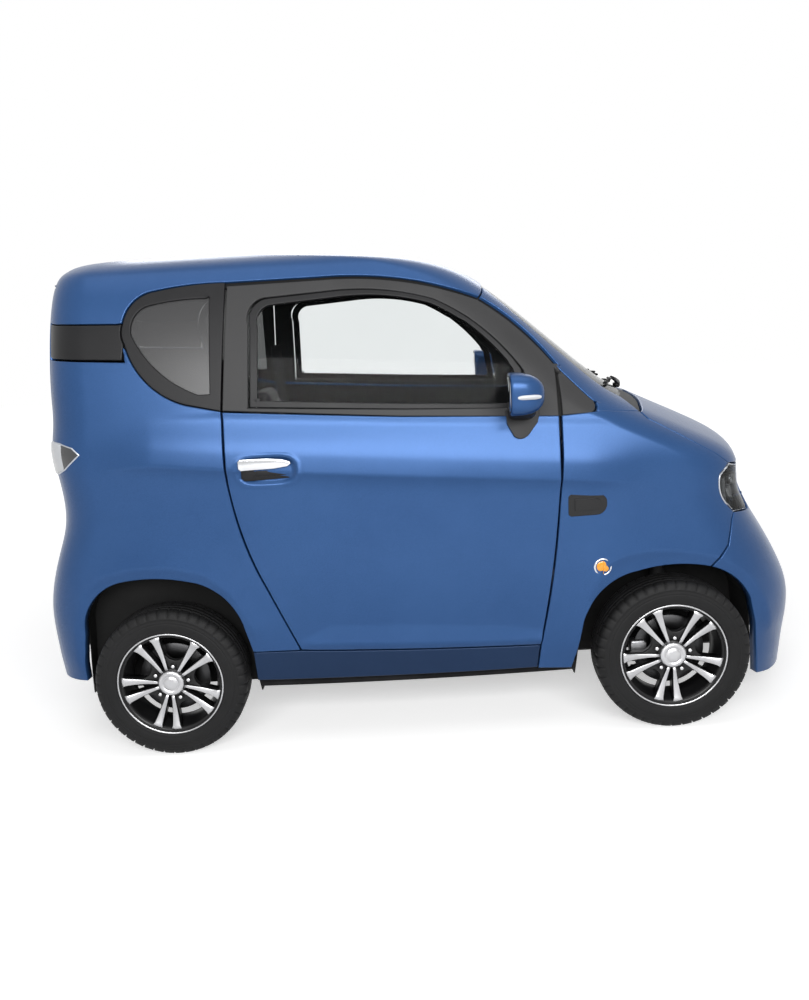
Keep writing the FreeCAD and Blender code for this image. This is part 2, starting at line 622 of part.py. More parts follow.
# Steered knuckles with calipers, suspension arms and the rear axle with its motor.
post = block(axle - 24, axle + 24, -pinPlane - 16, -pinPlane + 16, 160, 348)
spindle = Part.makeCylinder(18, 64, V(axle, -pinPlane + 16, tyreRadius), V(0, -1, 0))
caliper = block(axle - 132, axle - 72, -wheelPlane - 6, -pinPlane + 2, 214, 294)
slotDisc = Part.makeCylinder(val("discRadius") + 4, 18, V(axle, -wheelPlane + 23, tyreRadius), V(0, -1, 0))
hubRoom = Part.makeCylinder(53, 200, V(axle, -wheelPlane + 35, tyreRadius), V(0, -1, 0))
bracket = block(axle - 110, axle - 20, -pinPlane - 8, -pinPlane + 12, 220, 288)
steerArm = block(axle - 120, axle - 20, -pinPlane - 6, -pinPlane + 14, 176, 190)
pinHoles = Part.makeCylinder(val("kingpinRadius"), 24, V(axle, -pinPlane, 160))
pinHoles = pinHoles.fuse(Part.makeCylinder(val("kingpinRadius"), 24, V(axle, -pinPlane, 324)))
knuckle = post.fuse(caliper).fuse(bracket).fuse(steerArm).cut(slotDisc).cut(hubRoom).fuse(spindle).cut(pinHoles)
frontSet = block(axle - 60, axle + 40, -330, 330, 140, floorTop - 60)
rails = block(560, 1090, -330, -290, 165, 205)
frontSet = frontSet.fuse(rails).fuse(mirrored(rails))
# Each arm ends in a round eye about the kingpin, clear of the brake disc at full lock.
eyeRadius = val("eyeRadius")
lowerEye = Part.makeCylinder(eyeRadius, 20, V(axle, -pinPlane, 134))
lowerArm = block(axle - 22, axle + 22, -pinPlane + 6, -320, 134, 154).fuse(lowerEye)
lowerPin = Part.makeCylinder(val("kingpinRadius"), 26, V(axle, -pinPlane, 154))
upperEye = Part.makeCylinder(eyeRadius, 14, V(axle, -pinPlane, 356))
upperArm = block(axle - 16, axle + 16, -pinPlane + 6, -370, 356, 370).fuse(upperEye)
upperPin = Part.makeCylinder(val("kingpinRadius"), 26, V(axle, -pinPlane, 330))
damper = Part.makeCylinder(24, 420, V(axle, -440, 154))
tower = block(axle - 40, axle + 40, -460, -330, 574, 620)
sideSet = lowerArm.fuse(lowerPin).fuse(upperArm).fuse(upperPin).fuse(damper)
frontSet = frontSet.fuse(sideSet).fuse(mirrored(sideSet))
bar = Part.makeCylinder(val("barRadius"), 2 * wheelPlane - 80, V(-axle, -wheelPlane + 40, tyreRadius), V(0, 1, 0))
ends = Part.makeCylinder(18, 2 * wheelPlane + 16, V(-axle, -wheelPlane - 8, tyreRadius), V(0, 1, 0))
motor = motorBox.Shape.copy()
motor.translate(V(val("frameShift"), 0, 0))
arm = block(-axle, -560, -445, -415, 233, 275)
spring = Part.makeCylinder(34, 430 - 270, V(-axle, -400, 270))
rearSet = bar.fuse(ends).cut(motor).fuse(arm).fuse(mirrored(arm)).fuse(spring).fuse(mirrored(spring))
keep("knuckle_right", knuckle)
keep("knuckle_left", mirrored(knuckle))
keep("front_suspension", frontSet)
keep("rear_axle", rearSet)

# Steering wheel on its column, leaning back towards the driver; Z of its frame points at the driver.
leanText = "sizes.steerLean * 1 deg"


def steer_item(kind, label, expressions, forward, turn=None):
    # A primitive whose centre lies forward of the wheel's centre along the column.
    place = {"Placement.Base.x": f"sizes.steerX - sizes.frameShift + ({forward}) * cos({leanText})",
             "Placement.Base.y": "sizes.seatPlane",
             "Placement.Base.z": f"sizes.steerLevel - ({forward}) * sin({leanText})"}
    item = bound(kind, label, {**expressions, **place})
    aim = FreeCAD.Rotation(V(0, 0, 1), V(-math.cos(math.radians(val("steerLean"))), 0,
                                         math.sin(math.radians(val("steerLean")))))
    if turn is not None:
        # Each arm lies in the plane of the ring.
        aim = aim * FreeCAD.Rotation(V(0, 0, 1), turn) * FreeCAD.Rotation(V(0, 1, 0), 90)
    item.Placement.Rotation = aim
    return item


wheelItems = [
    steer_item("Part::Torus", "steeringRing", {"Radius1": "sizes.steerRadius", "Radius2": "sizes.steerTube"}, "0"),
    steer_item("Part::Cylinder", "steeringBoss", {"Radius": "sizes.bossRadius", "Height": "sizes.bossThick"},
               "sizes.bossSet")]
for turn in (30, 150, 270):
    wheelItems.append(steer_item("Part::Cylinder", f"steeringArm{turn}",
                                 {"Radius": "sizes.barThin", "Height": "sizes.steerRadius"}, "0", turn))
steeringWheel = doc.addObject("Part::MultiFuse", "steering_wheel")
steeringWheel.Shapes = wheelItems
steeringWheel.Label = "steering_wheel"
made.append(steeringWheel)
column = steer_item("Part::Cylinder", "steering_column", {"Radius": "sizes.columnRadius", "Height": "sizes.columnLong"},
                    "sizes.bossSet + sizes.columnLong + 0.3")
column.Label = "steering_column"
made.append(column)

doc.recompute()
for item in doc.Objects:
    if "Invalid" in item.State or "Error" in item.State:
        raise ValueError(f"{item.Label} could not be built")
for item in made:
    if item.Shape.isNull() or not item.Shape.isValid():
        raise ValueError(f"{item.Label} has no sound shape")
for item in made:
    item.Shape.exportStep(f"parts/{item.Label}.step")
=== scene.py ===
import bpy
import bmesh
import math
import numpy as np
from mathutils import Matrix, Vector


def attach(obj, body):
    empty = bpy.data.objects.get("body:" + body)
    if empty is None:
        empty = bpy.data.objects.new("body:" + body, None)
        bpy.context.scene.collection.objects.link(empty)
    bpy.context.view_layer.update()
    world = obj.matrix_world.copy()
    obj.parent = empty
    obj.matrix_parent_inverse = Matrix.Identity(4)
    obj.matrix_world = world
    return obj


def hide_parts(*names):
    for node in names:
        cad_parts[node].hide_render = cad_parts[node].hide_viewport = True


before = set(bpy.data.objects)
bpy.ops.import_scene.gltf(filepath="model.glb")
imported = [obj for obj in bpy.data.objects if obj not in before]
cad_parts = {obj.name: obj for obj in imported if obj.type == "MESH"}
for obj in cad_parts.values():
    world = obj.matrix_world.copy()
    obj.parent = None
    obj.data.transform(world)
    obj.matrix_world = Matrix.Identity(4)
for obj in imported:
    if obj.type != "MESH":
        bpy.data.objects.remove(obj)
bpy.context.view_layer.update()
print("frame loaded")

# Body form: plan sections of the shell, from the ground up, in metres.
bodyForm = {
    "sideRadius": 9.0,
    # level, rear end, front end, half width, rear corner, front corner, rear end radius, front end radius
    "sections": [
        (0.110, -1.288, 1.324, 0.622, 0.150, 0.260, 2.6, 1.50),
        (0.200, -1.290, 1.332, 0.640, 0.150, 0.270, 2.6, 1.50),
        (0.300, -1.293, 1.342, 0.652, 0.155, 0.280, 2.6, 1.50),
        (0.400, -1.299, 1.344, 0.658, 0.160, 0.280, 2.6, 1.50),
        (0.500, -1.298, 1.312, 0.663, 0.165, 0.280, 2.6, 1.50),
        (0.600, -1.277, 1.260, 0.666, 0.170, 0.280, 2.6, 1.50),
        (0.700, -1.242, 1.203, 0.666, 0.175, 0.270, 2.6, 1.50),
        (0.780, -1.216, 1.174, 0.665, 0.180, 0.260, 2.6, 1.50),
        (0.850, -1.209, 1.168, 0.665, 0.180, 0.250, 2.6, 1.50),
        (0.895, -1.211, 1.148, 0.665, 0.180, 0.245, 2.6, 1.45),
        (0.960, -1.218, 1.052, 0.662, 0.180, 0.235, 2.6, 1.40),
        (1.040, -1.224, 0.890, 0.652, 0.180, 0.225, 2.6, 1.40),
        (1.120, -1.213, 0.742, 0.634, 0.180, 0.215, 2.6, 1.50),
        (1.220, -1.208, 0.615, 0.612, 0.175, 0.205, 2.6, 1.70),
        (1.340, -1.200, 0.479, 0.583, 0.170, 0.195, 2.6, 1.90),
        (1.460, -1.186, 0.337, 0.548, 0.165, 0.185, 2.6, 2.10),
        (1.540, -1.169, 0.212, 0.518, 0.155, 0.175, 2.6, 2.10),
        (1.582, -1.152, 0.084, 0.490, 0.145, 0.165, 2.6, 2.00),
        (1.606, -1.130, -0.090, 0.452, 0.135, 0.155, 2.6, 1.90),
        (1.626, -1.100, -0.340, 0.380, 0.125, 0.140, 2.6, 1.80),
        (1.640, -1.045, -0.560, 0.270, 0.110, 0.120, 2.6, 1.70),
        (1.647, -0.960, -0.680, 0.150, 0.080, 0.080, 2.6, 1.70),
    ],
    "seam": 0.0035,     # gap between two panels
    "edgeRound": 0.0028,
    "wall": 0.030,
    "cell": 0.014,      # spacing of the grid on a panel
}


def naturalSpline(knots, values):
    # second derivatives of a cubic spline with free ends
    count = len(knots)
    h = np.diff(knots)
    matrix = np.eye(count)
    right = np.zeros((count, values.shape[1]))
    for i in range(1, count - 1):
        matrix[i, i - 1:i + 2] = h[i - 1], 2 * (h[i - 1] + h[i]), h[i]
        right[i] = 6 * ((values[i + 1] - values[i]) / h[i] - (values[i] - values[i - 1]) / h[i - 1])
    return np.linalg.solve(matrix, right)


class BodySurface:
    # A point of the shell is (t, v): t runs from rear centre (0) to front centre (5) over five arcs,
    # v is the length climbed from the lowest section.
    def __init__(self, form):
        self.rows = np.array(form["sections"])
        self.sideRadius = form["sideRadius"]
        step = np.diff(self.rows[:, :4], axis=0)
        lengths = np.sqrt(step[:, 0] ** 2 + (0.5 * step[:, 1]) ** 2 + (0.5 * step[:, 2]) ** 2 + step[:, 3] ** 2)
        self.knots = np.concatenate([[0], np.cumsum(lengths)])
        self.bend = naturalSpline(self.knots, self.rows)
        self.top = self.knots[-1]
        self.fineV = np.linspace(0, self.top, 2000)
        self.fineZ = self.columns(self.fineV)[:, 0]
        self.fineT = np.linspace(0, 5, 1001)
        middle = self.heightToV(0.7)
        x, y = self.plan(self.fineT, np.full(1001, middle))
        self.fineA = np.concatenate([[0], np.cumsum(np.hypot(np.diff(x), np.diff(y)))])
        self.around = self.fineA[-1]

    def columns(self, v):
        v = np.clip(v, 0, self.top)
        i = np.clip(np.searchsorted(self.knots, v) - 1, 0, len(self.knots) - 2)
        h = self.knots[i + 1] - self.knots[i]
        a = ((self.knots[i + 1] - v) / h)[:, None]
        b = ((v - self.knots[i]) / h)[:, None]
        curve = (a ** 3 - a) * self.bend[i] + (b ** 3 - b) * self.bend[i + 1]
        return a * self.rows[i] + b * self.rows[i + 1] + curve * (h ** 2)[:, None] / 6

    def heightToV(self, z):
        return np.interp(z, self.fineZ, self.fineV)

    def plan(self, t, v):
        level, rear, front, half, rearCorner, frontCorner, rearEnd, frontEnd = self.columns(v).T
        middle = (rear + front) / 2
        sideY = half - self.sideRadius
        arcs = []
        ends = ((rear + rearEnd, rearEnd, rearCorner, -1), (front - frontEnd, frontEnd, frontCorner, 1))
        for endX, endRadius, corner, sign in ends:
            first = endRadius - corner
            second = self.sideRadius - corner
            dx = middle - endX
            span = np.hypot(dx, sideY)
            along = (first ** 2 - second ** 2 + span ** 2) / (2 * span)
            off = np.sqrt(np.maximum(first ** 2 - along ** 2, 0))
            hubX = endX + along * dx / span - sign * off * sideY / span
            hubY = along * sideY / span + sign * off * dx / span
            endAngle = np.arctan2(hubY, hubX - endX)
            sideAngle = np.arctan2(hubY - sideY, hubX - middle)
            arcs.append((endX, endRadius, corner, hubX, hubY, endAngle, sideAngle))
        (rx, rr, rc, rhx, rhy, rea, rsa), (fx, fr, fc, fhx, fhy, fea, fsa) = arcs
        pi = np.full_like(level, math.pi)
        zero = np.zeros_like(level)
        stretches = [
            (rx, zero, rr, pi, rea), (rhx, rhy, rc, rea, rsa), (middle, sideY, self.sideRadius, rsa, fsa),
            (fhx, fhy, fc, fsa, fea), (fx, zero, fr, fea, zero),
        ]
        x = np.zeros_like(level)
        y = np.zeros_like(level)
        for k, (cx, cy, radius, start, end) in enumerate(stretches):
            mask = (t >= k) & (t <= k + 1) if k == 4 else (t >= k) & (t < k + 1)
            angle = start + (end - start) * (t - k)
            x = np.where(mask, cx + radius * np.cos(angle), x)
            y = np.where(mask, cy + radius * np.sin(angle), y)
        return x, y

    def place(self, a, b):
        # points of the right side (y below 0) from lengths around and up the shell
        t = np.interp(a, self.fineA, self.fineT)
        inside = np.minimum(b, self.top)
        x, y = self.plan(t, inside)
        z = self.columns(inside)[:, 0]
        past = np.clip((b - self.top) / 0.14, 0, 1)     # the crown closes towards its middle
        x = x + (-0.82 - x) * past
        y = y * (1 - past)
        return np.stack([x, -y, z], axis=1)

    def normals(self, a, b):
        e = 0.0008
        low = np.clip(a, e, self.around - e)
        alongA = self.place(low + e, b) - self.place(low - e, b)
        alongB = self.place(low, np.maximum(b + e, 0)) - self.place(low, np.maximum(b - e, 0))
        n = np.cross(alongA, alongB)
        n /= np.maximum(np.linalg.norm(n, axis=1), 1e-12)[:, None]
        return n

    def locate(self, kind, first, z):
        # lengths around and up of a point seen from the side (x, z), front or rear (y, z)
        v = float(self.heightToV(z))
        x, y = self.plan(self.fineT, np.full(1001, v))
        if kind == "side":
            return float(np.interp(first, x, self.fineA)), v
        half = self.fineT > 2.5
        if kind == "front":
            return float(np.interp(-abs(first), -y[half], self.fineA[half])), v
        return float(np.interp(abs(first), y[~half], self.fineA[~half])), v


surface = BodySurface(bodyForm)


def roundThrough(p, q, r, step):
    # points of the arc from p through q to r, without p
    (ax, ay), (bx, by), (cx, cy) = p, q, r
    d = 2 * (ax * (by - cy) + bx * (cy - ay) + cx * (ay - by))
    if abs(d) < 1e-9:
        return [r]
    ux = ((ax * ax + ay * ay) * (by - cy) + (bx * bx + by * by) * (cy - ay) + (cx * cx + cy * cy) * (ay - by)) / d
    uy = ((ax * ax + ay * ay) * (cx - bx) + (bx * bx + by * by) * (ax - cx) + (cx * cx + cy * cy) * (bx - ax)) / d
    radius = math.hypot(ax - ux, ay - uy)
    start = math.atan2(ay - uy, ax - ux)
    through = (math.atan2(by - uy, bx - ux) - start) % (2 * math.pi)
    end = (math.atan2(cy - uy, cx - ux) - start) % (2 * math.pi)
    if through > end:
        end -= 2 * math.pi
    count = max(2, int(abs(end) * radius / step))
    return [(ux + radius * math.cos(start + end * i / count), uy + radius * math.sin(start + end * i / count))
            for i in range(1, count + 1)]


def traceCurve(points, step=0.012):
    # a line of (a, b) points; one marked "via" is the middle of an arc to the next point
    path = [tuple(points[0][:2])]
    via = None
    for item in points[1:]:
        spot = tuple(item[:2])
        if len(item) == 3:
            via = spot
            continue
        if via is not None:
            path += roundThrough(path[-1], via, spot, step)
        else:
            count = max(1, int(math.dist(path[-1], spot) / step))
            start = path[-1]
            path += [(start[0] + (spot[0] - start[0]) * i / count, start[1] + (spot[1] - start[1]) * i / count)
                     for i in range(1, count + 1)]
        via = None
    return path


def shellOutline(stretches):
    # joins traced curves, each seen from one side, into one outline on the shell's own lengths
    outline = []
    for kind, points in stretches:
        path = traceCurve(points)
        for spot in path:
            place = surface.locate(kind, spot[0], spot[1]) if kind != "shell" else spot
            if not outline or math.dist(outline[-1], place) > 0.0008:
                outline.append(place)
    if math.dist(outline[0], outline[-1]) < 0.0008:
        outline.pop()
    return outline


def insideLoop(points, loop):
    # true where a point lies inside a closed line
    x, y = points[:, 0], points[:, 1]
    found = np.zeros(len(x), bool)
    for (x1, y1), (x2, y2) in zip(loop, loop[1:] + loop[:1]):
        if y1 != y2:
            found ^= ((y1 > y) != (y2 > y)) & (x < (x2 - x1) * (y - y1) / (y2 - y1) + x1)
    return found


def lineDistance(points, line):
    best = np.full(len(points), 9.0)
    for start, end in zip(line[:-1], line[1:]):
        start, end = np.array(start[:2]), np.array(end[:2])
        run = end - start
        share = np.clip((points - start) @ run / (run @ run), 0, 1)
        best = np.minimum(best, np.linalg.norm(points - start - share[:, None] * run, axis=1))
    return best


def ramp(x, low, high):
    t = np.clip((x - low) / (high - low), 0, 1)
    return t * t * (3 - 2 * t)


def shiftOutline(outline, amount, halves):
    # moves a closed line inwards along the shell; the middle of the car stays put
    count = len(outline)
    flat = np.array(outline)
    e = 0.001
    scaleA = np.linalg.norm(surface.place(flat[:, 0] + e, flat[:, 1]) - surface.place(flat[:, 0] - e, flat[:, 1]),
                            axis=1) / (2 * e)
    scaleB = np.linalg.norm(surface.place(flat[:, 0], flat[:, 1] + e) - surface.place(flat[:, 0], flat[:, 1] - e),
                            axis=1) / (2 * e)
    scaleA = np.maximum(scaleA, 0.25)
    area = sum(flat[i - 1][0] * flat[i][1] - flat[i][0] * flat[i - 1][1] for i in range(count))
    turn = 1 if area > 0 else -1

    def middle(p):
        return halves and (p[0] < 1e-5 or p[0] > surface.around - 1e-5 or p[1] > surface.top + 0.13)
    shifted = []
    for i in range(count):
        scale = np.array([scaleA[i], scaleB[i]])
        normals, moves = [], []
        for first, second in ((i - 1, i), (i, (i + 1) % count)):
            along = (flat[second] - flat[first]) * scale
            along /= max(np.linalg.norm(along), 1e-9)
            normals.append(np.array([-along[1], along[0]]) * turn)
            moves.append(0 if middle(flat[first]) and middle(flat[second]) else amount)
        if abs(normals[0][0] * normals[1][1] - normals[0][1] * normals[1][0]) > 0.25:
            move = np.linalg.solve(np.array(normals), np.array(moves))
        else:
            both = normals[0] + normals[1]
            move = both / np.linalg.norm(both) * max(moves, key=abs) / max(float(np.linalg.norm(both)) / 2, 0.7)
        shifted.append(tuple(flat[i] + move / scale))
    return shifted


def gridCut(bm, columns, rows, slope):
    # slices the flat outline into cells; the rows follow the waist line of the car
    for v in bm.verts:
        v.co.y -= slope * v.co.x
    for axis, levels in ((0, columns), (1, rows)):
        for level in levels:
            spot = [0, 0, 0]
            spot[axis] = level
            normal = [0, 0, 0]
            normal[axis] = 1
            bmesh.ops.bisect_plane(bm, geom=bm.verts[:] + bm.edges[:] + bm.faces[:], dist=0.0006,
                                   plane_co=spot, plane_no=normal)
    for v in bm.verts:
        v.co.y += slope * v.co.x


def gridLevels(low, high, cell, fine):
    levels = [i * cell for i in range(math.ceil(low / cell), int(high / cell) + 1)]
    for first, last, step in fine:
        levels = [v for v in levels if v < first - 0.4 * cell or v > last + 0.4 * cell]
        levels += list(np.arange(first, last + 0.5 * step, step))
    return sorted(v for v in levels if low < v < high)


def shellPanel(outlines, relief=None, inset=0.0, wall=None, seam=None, cell=None, halves=False, fine=(), slope=0.0):
    # an open skin of the right side, cut from the shell along its outlines: the first is the rim, others are holes
    cell = cell or bodyForm["cell"]
    wall = wall or bodyForm["wall"]
    gap = (bodyForm["seam"] if seam is None else seam) / 2
    edge = bodyForm["edgeRound"] if wall > 0.008 else 0.001
    back = gap + edge + 0.0012
    bm = bmesh.new()
    loops = []
    for k, stretches in enumerate(outlines):
        loop = shiftOutline(shellOutline(stretches), back if k == 0 else -back, halves)
        loops.append(loop)
        ring = [bm.verts.new((a, b, 0)) for a, b in loop]
        if len(outlines) == 1:
            bm.faces.new(ring)
        else:
            for first, second in zip(ring, ring[1:] + ring[:1]):
                bm.edges.new((first, second))
    if len(outlines) > 1:
        bmesh.ops.triangle_fill(bm, edges=bm.edges[:], use_beauty=True, use_dissolve=False)
        for e in bm.edges:
            e.seam = not e.is_boundary
    outline = [(a, b - slope * a) for a, b in loops[0]]
    low = [min(p[i] for p in outline) for i in (0, 1)]
    high = [max(p[i] for p in outline) for i in (0, 1)]
    fineA = [f[1:] for f in fine if f[0] == "along"]
    fineB = [f[1:] for f in fine if f[0] == "up"]
    gridCut(bm, gridLevels(low[0], high[0], cell, fineA), gridLevels(low[1], high[1], cell, fineB), slope)
    if len(outlines) > 1:
        bmesh.ops.dissolve_edges(bm, edges=[e for e in bm.edges if e.seam], use_verts=False)
    bmesh.ops.dissolve_degenerate(bm, dist=0.0003, edges=bm.edges[:])
    bm.verts.ensure_lookup_table()
    bm.verts.index_update()
    flat = np.array([v.co[:2] for v in bm.verts])
    base = surface.place(flat[:, 0], flat[:, 1])
    normal = surface.normals(flat[:, 0], flat[:, 1])
    skin = base - normal * inset
    if relief:
        skin = skin + normal * relief(base)[:, None]
    for v, spot in zip(bm.verts, skin):
        v.co = spot
        if halves and abs(v.co.y) < 0.0015:
            v.co.y = 0
            normal[v.index][1] = 0
    bmesh.ops.recalc_face_normals(bm, faces=bm.faces[:])
    bm.faces.ensure_lookup_table()
    reference = bm.faces[len(bm.faces) // 2]
    if reference.normal.dot(Vector(normal[reference.verts[0].index])) < 0:
        bmesh.ops.reverse_faces(bm, faces=bm.faces[:])
    return closePanel(bm, normal, halves, gap, edge, back, wall)


def closePanel(bm, normal, halves, gap, edge, back, wall):
    # rounds the rim over and adds the inner skin and the wall between
    tag = bm.verts.layers.int.new("tag")
    for v in bm.verts:
        v[tag] = v.index
    rim = [e for e in bm.edges if e.is_boundary and not (halves and all(abs(v.co.y) < 1e-6 for v in e.verts))]
    outward = {}
    for e in rim:
        face = e.link_faces[0]
        side = (e.verts[1].co - e.verts[0].co).normalized().cross(face.normal)
        if side.dot(face.calc_center_median() - e.verts[0].co) > 0:
            side = -side
        for v in e.verts:
            outward.setdefault(v, []).append(side)
    push, start = {}, {}
    for v, sides in outward.items():
        total = sum(sides, Vector()).normalized()
        total = total / max(total.dot(sides[0]), 0.6)
        if halves and abs(v.co.y) < 1e-6:
            total.y = 0
        push[v[tag]] = total
        start[v[tag]] = v.co.copy()
    inner = bmesh.ops.duplicate(bm, geom=bm.verts[:] + bm.edges[:] + bm.faces[:])["geom"]
    for item in inner:
        if isinstance(item, bmesh.types.BMVert):
            item.co = item.co - Vector(normal[item[tag]]) * wall
        elif isinstance(item, bmesh.types.BMFace):
            item.material_index = 1
    bmesh.ops.reverse_faces(bm, faces=[g for g in inner if isinstance(g, bmesh.types.BMFace)])
    ringEdges = rim
    for drop, depth in ((gap + edge, 0), (gap + 0.3 * edge, 0.3 * edge), (gap, edge), (gap, wall), (back, wall)):
        made = bmesh.ops.extrude_edge_only(bm, edges=ringEdges)["geom"]
        ringEdges = [g for g in made if isinstance(g, bmesh.types.BMEdge)
                     and all(v in made for v in g.verts)]
        for v in made:
            if isinstance(v, bmesh.types.BMVert):
                i = v[tag]
                v.co = start[i] + push[i] * (back - drop) - Vector(normal[i]) * depth
    bmesh.ops.remove_doubles(bm, verts=bm.verts[:], dist=0.00008)
    if halves:
        bmesh.ops.mirror(bm, geom=bm.verts[:] + bm.edges[:] + bm.faces[:], merge_dist=0.0001, axis="Y")
        bmesh.ops.remove_doubles(bm, verts=[v for v in bm.verts if abs(v.co.y) < 0.001], dist=0.0002)
    bmesh.ops.holes_fill(bm, edges=[e for e in bm.edges if e.is_boundary], sides=12)
    bmesh.ops.recalc_face_normals(bm, faces=bm.faces[:])
    return bm


frameShift = Vector((-0.02346, 0, 0))     # sizes below are measured from between the axles


def finishMesh(name, bm, materials, body=None, nodes=()):
    # an object at the origin with its place in its mesh, riding on a body and standing for its nodes
    for face in bm.faces:
        face.smooth = True
    bmesh.ops.translate(bm, verts=bm.verts[:], vec=frameShift)
    mesh = bpy.data.meshes.new(name)
    bm.to_mesh(mesh)
    bm.free()
    for material in materials:
        mesh.materials.append(material)
    piece = bpy.data.objects.new(name, mesh)
    bpy.context.collection.objects.link(piece)
    if body:
        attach(piece, body)
    for node in nodes:
        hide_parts(node)
    return piece


def turnOver(bm):
    # the other side of the car
    bmesh.ops.scale(bm, vec=(1, -1, 1), verts=bm.verts[:])
    bmesh.ops.reverse_faces(bm, faces=bm.faces[:])


def pairOf(name, body, bm, materials, nodes=()):
    # the same piece on both sides; body and node names hold {side}
    other = bm.copy()
    turnOver(other)
    for side, mesh in (("right", bm), ("left", other)):
        finishMesh(f"{name}_{side}", mesh, materials, body.format(side=side), [n.format(side=side) for n in nodes])


def makePanel(name, body, outlines, materials, nodes=(), halves=False, **options):
    # a panel across the car (halves), on both sides of one body, or one on each side's own body
    bm = shellPanel(outlines, halves=halves, **options)
    openEdges = sum(1 for e in bm.edges if not e.is_manifold)
    print("panel", name, len(bm.faces), "faces", openEdges, "open edges")
    if "{side}" in body:
        pairOf(name, body, bm, materials, nodes)
    else:
        finishMesh(name, bm if halves else bothSides(bm), materials, body, nodes)


def patch(outline, number, wall, inset, cell=0.03, halves=False, seam=0.0):
    # a small skin in one material that follows the shell
    return paintFaces(shellPanel([outline], wall=wall, seam=seam, inset=inset, halves=halves, cell=cell), number)


def merged(*parts):
    # one mesh out of several; material numbers stay as they are
    whole = bmesh.new()
    for part in parts:
        copy = bpy.data.meshes.new("part")
        part.to_mesh(copy)
        whole.from_mesh(copy)
        bpy.data.meshes.remove(copy)
        part.free()
    return whole


def paintFaces(bm, number):
    for face in bm.faces:
        face.material_index = number
    return bm


def moved(bm, offset=(0, 0, 0), turn=None):
    if turn:
        bmesh.ops.rotate(bm, verts=bm.verts[:], cent=(0, 0, 0),
                         matrix=Matrix.Rotation(math.radians(turn[0]), 3, turn[1]))
    bmesh.ops.translate(bm, verts=bm.verts[:], vec=offset)
    return bm


def block(size, place=(0, 0, 0), bevel=0.002, number=0, turn=None, segments=3):
    bm = bmesh.new()
    bmesh.ops.create_cube(bm, size=1)
    bmesh.ops.scale(bm, vec=size, verts=bm.verts[:])
    bmesh.ops.bevel(bm, geom=bm.edges[:], offset=bevel, segments=segments, affect="EDGES", profile=0.5, material=-1)
    return paintFaces(moved(bm, place, turn), number)


def plateFrom(outline, low, high, bevel=0.0015, number=0):
    # a closed outline in the x, z plane, extruded along y and with rounded edges
    bm = bmesh.new()
    ring = [bm.verts.new((x, low, z)) for x, z in outline]
    face = bm.faces.new(ring)
    made = bmesh.ops.extrude_face_region(bm, geom=[face])["geom"]
    bmesh.ops.translate(bm, verts=[g for g in made if isinstance(g, bmesh.types.BMVert)], vec=(0, high - low, 0))
    bmesh.ops.recalc_face_normals(bm, faces=bm.faces[:])
    if bevel:
        rim = [e for e in bm.edges if len(e.link_faces) == 2 and e.calc_face_angle(0) > 0.9]
        bmesh.ops.bevel(bm, geom=rim, offset=bevel, segments=2, affect="EDGES", profile=0.5, material=-1)
    return paintFaces(bm, number)


def turnedMesh(profile, steps=72, number=0, axis="Y"):
    # profile points are (radius, along); the turning axis runs through the origin
    bm = bmesh.new()
    ring = [bm.verts.new((r, a, 0)) for r, a in profile]
    edges = [bm.edges.new(pair) for pair in zip(ring[:-1], ring[1:])]
    bmesh.ops.spin(bm, geom=ring + edges, cent=(0, 0, 0), axis=(0, 1, 0), angle=2 * math.pi, steps=steps,
                   use_merge=True)
    bmesh.ops.remove_doubles(bm, verts=bm.verts[:], dist=0.00005)
    bmesh.ops.dissolve_degenerate(bm, dist=0.00002, edges=bm.edges[:])
    bmesh.ops.recalc_face_normals(bm, faces=bm.faces[:])
    if axis == "X":
        moved(bm, turn=(-90, "Z"))
    if axis == "Z":
        moved(bm, turn=(90, "X"))
    return paintFaces(bm, number)


def rodMesh(points, radius, sides=12, number=0, closed=False):
    # a round rod along a line of points; radius may be a list
    spots = [Vector(p) for p in points]
    radii = radius if isinstance(radius, (list, tuple)) else [radius] * len(spots)
    bm = bmesh.new()
    rings = []
    side = None
    for i, spot in enumerate(spots):
        before = spots[i - 1] if i or closed else spots[i]
        after = spots[(i + 1) % len(spots)] if i + 1 < len(spots) or closed else spots[i]
        along = (after - before).normalized()
        if side is None:
            side = along.orthogonal().normalized()
        side = (side - along * side.dot(along)).normalized()
        other = along.cross(side)
        made = bmesh.ops.create_circle(bm, cap_ends=False, segments=sides, radius=radii[i])["verts"]
        for v in made:
            v.co = spot + side * v.co.x + other * v.co.y
        rings.append(list({e for v in made for e in v.link_edges}))
    pairs = list(zip(rings[:-1], rings[1:])) + ([(rings[-1], rings[0])] if closed else [])
    for first, second in pairs:
        bmesh.ops.bridge_loops(bm, edges=first + second)
    if not closed:
        for ring in (rings[0], rings[-1]):
            bmesh.ops.contextual_create(bm, geom=ring)
    bmesh.ops.recalc_face_normals(bm, faces=bm.faces[:])
    return paintFaces(bm, number)


def bothSides(bm):
    other = bm.copy()
    turnOver(other)
    return merged(bm, other)


def skinY(x, z):
    # how far the shell lies from the middle of the car at a point seen from the side
    a, b = surface.locate("side", x, z)
    return float(surface.place(np.array([a]), np.array([b]))[0][1])


def lofted(rings, number=0, capped=True):
    # a skin bridged from ring to ring
    bm = bmesh.new()
    loops = []
    for ring in rings:
        corners = [bm.verts.new(p) for p in ring]
        loops.append([bm.edges.new(pair) for pair in zip(corners, corners[1:] + corners[:1])])
    for first, second in zip(loops[:-1], loops[1:]):
        bmesh.ops.bridge_loops(bm, edges=first + second)
    if capped:
        for loop in (loops[0], loops[-1]):
            bmesh.ops.contextual_create(bm, geom=loop)
    bmesh.ops.recalc_face_normals(bm, faces=bm.faces[:])
    return paintFaces(bm, number)


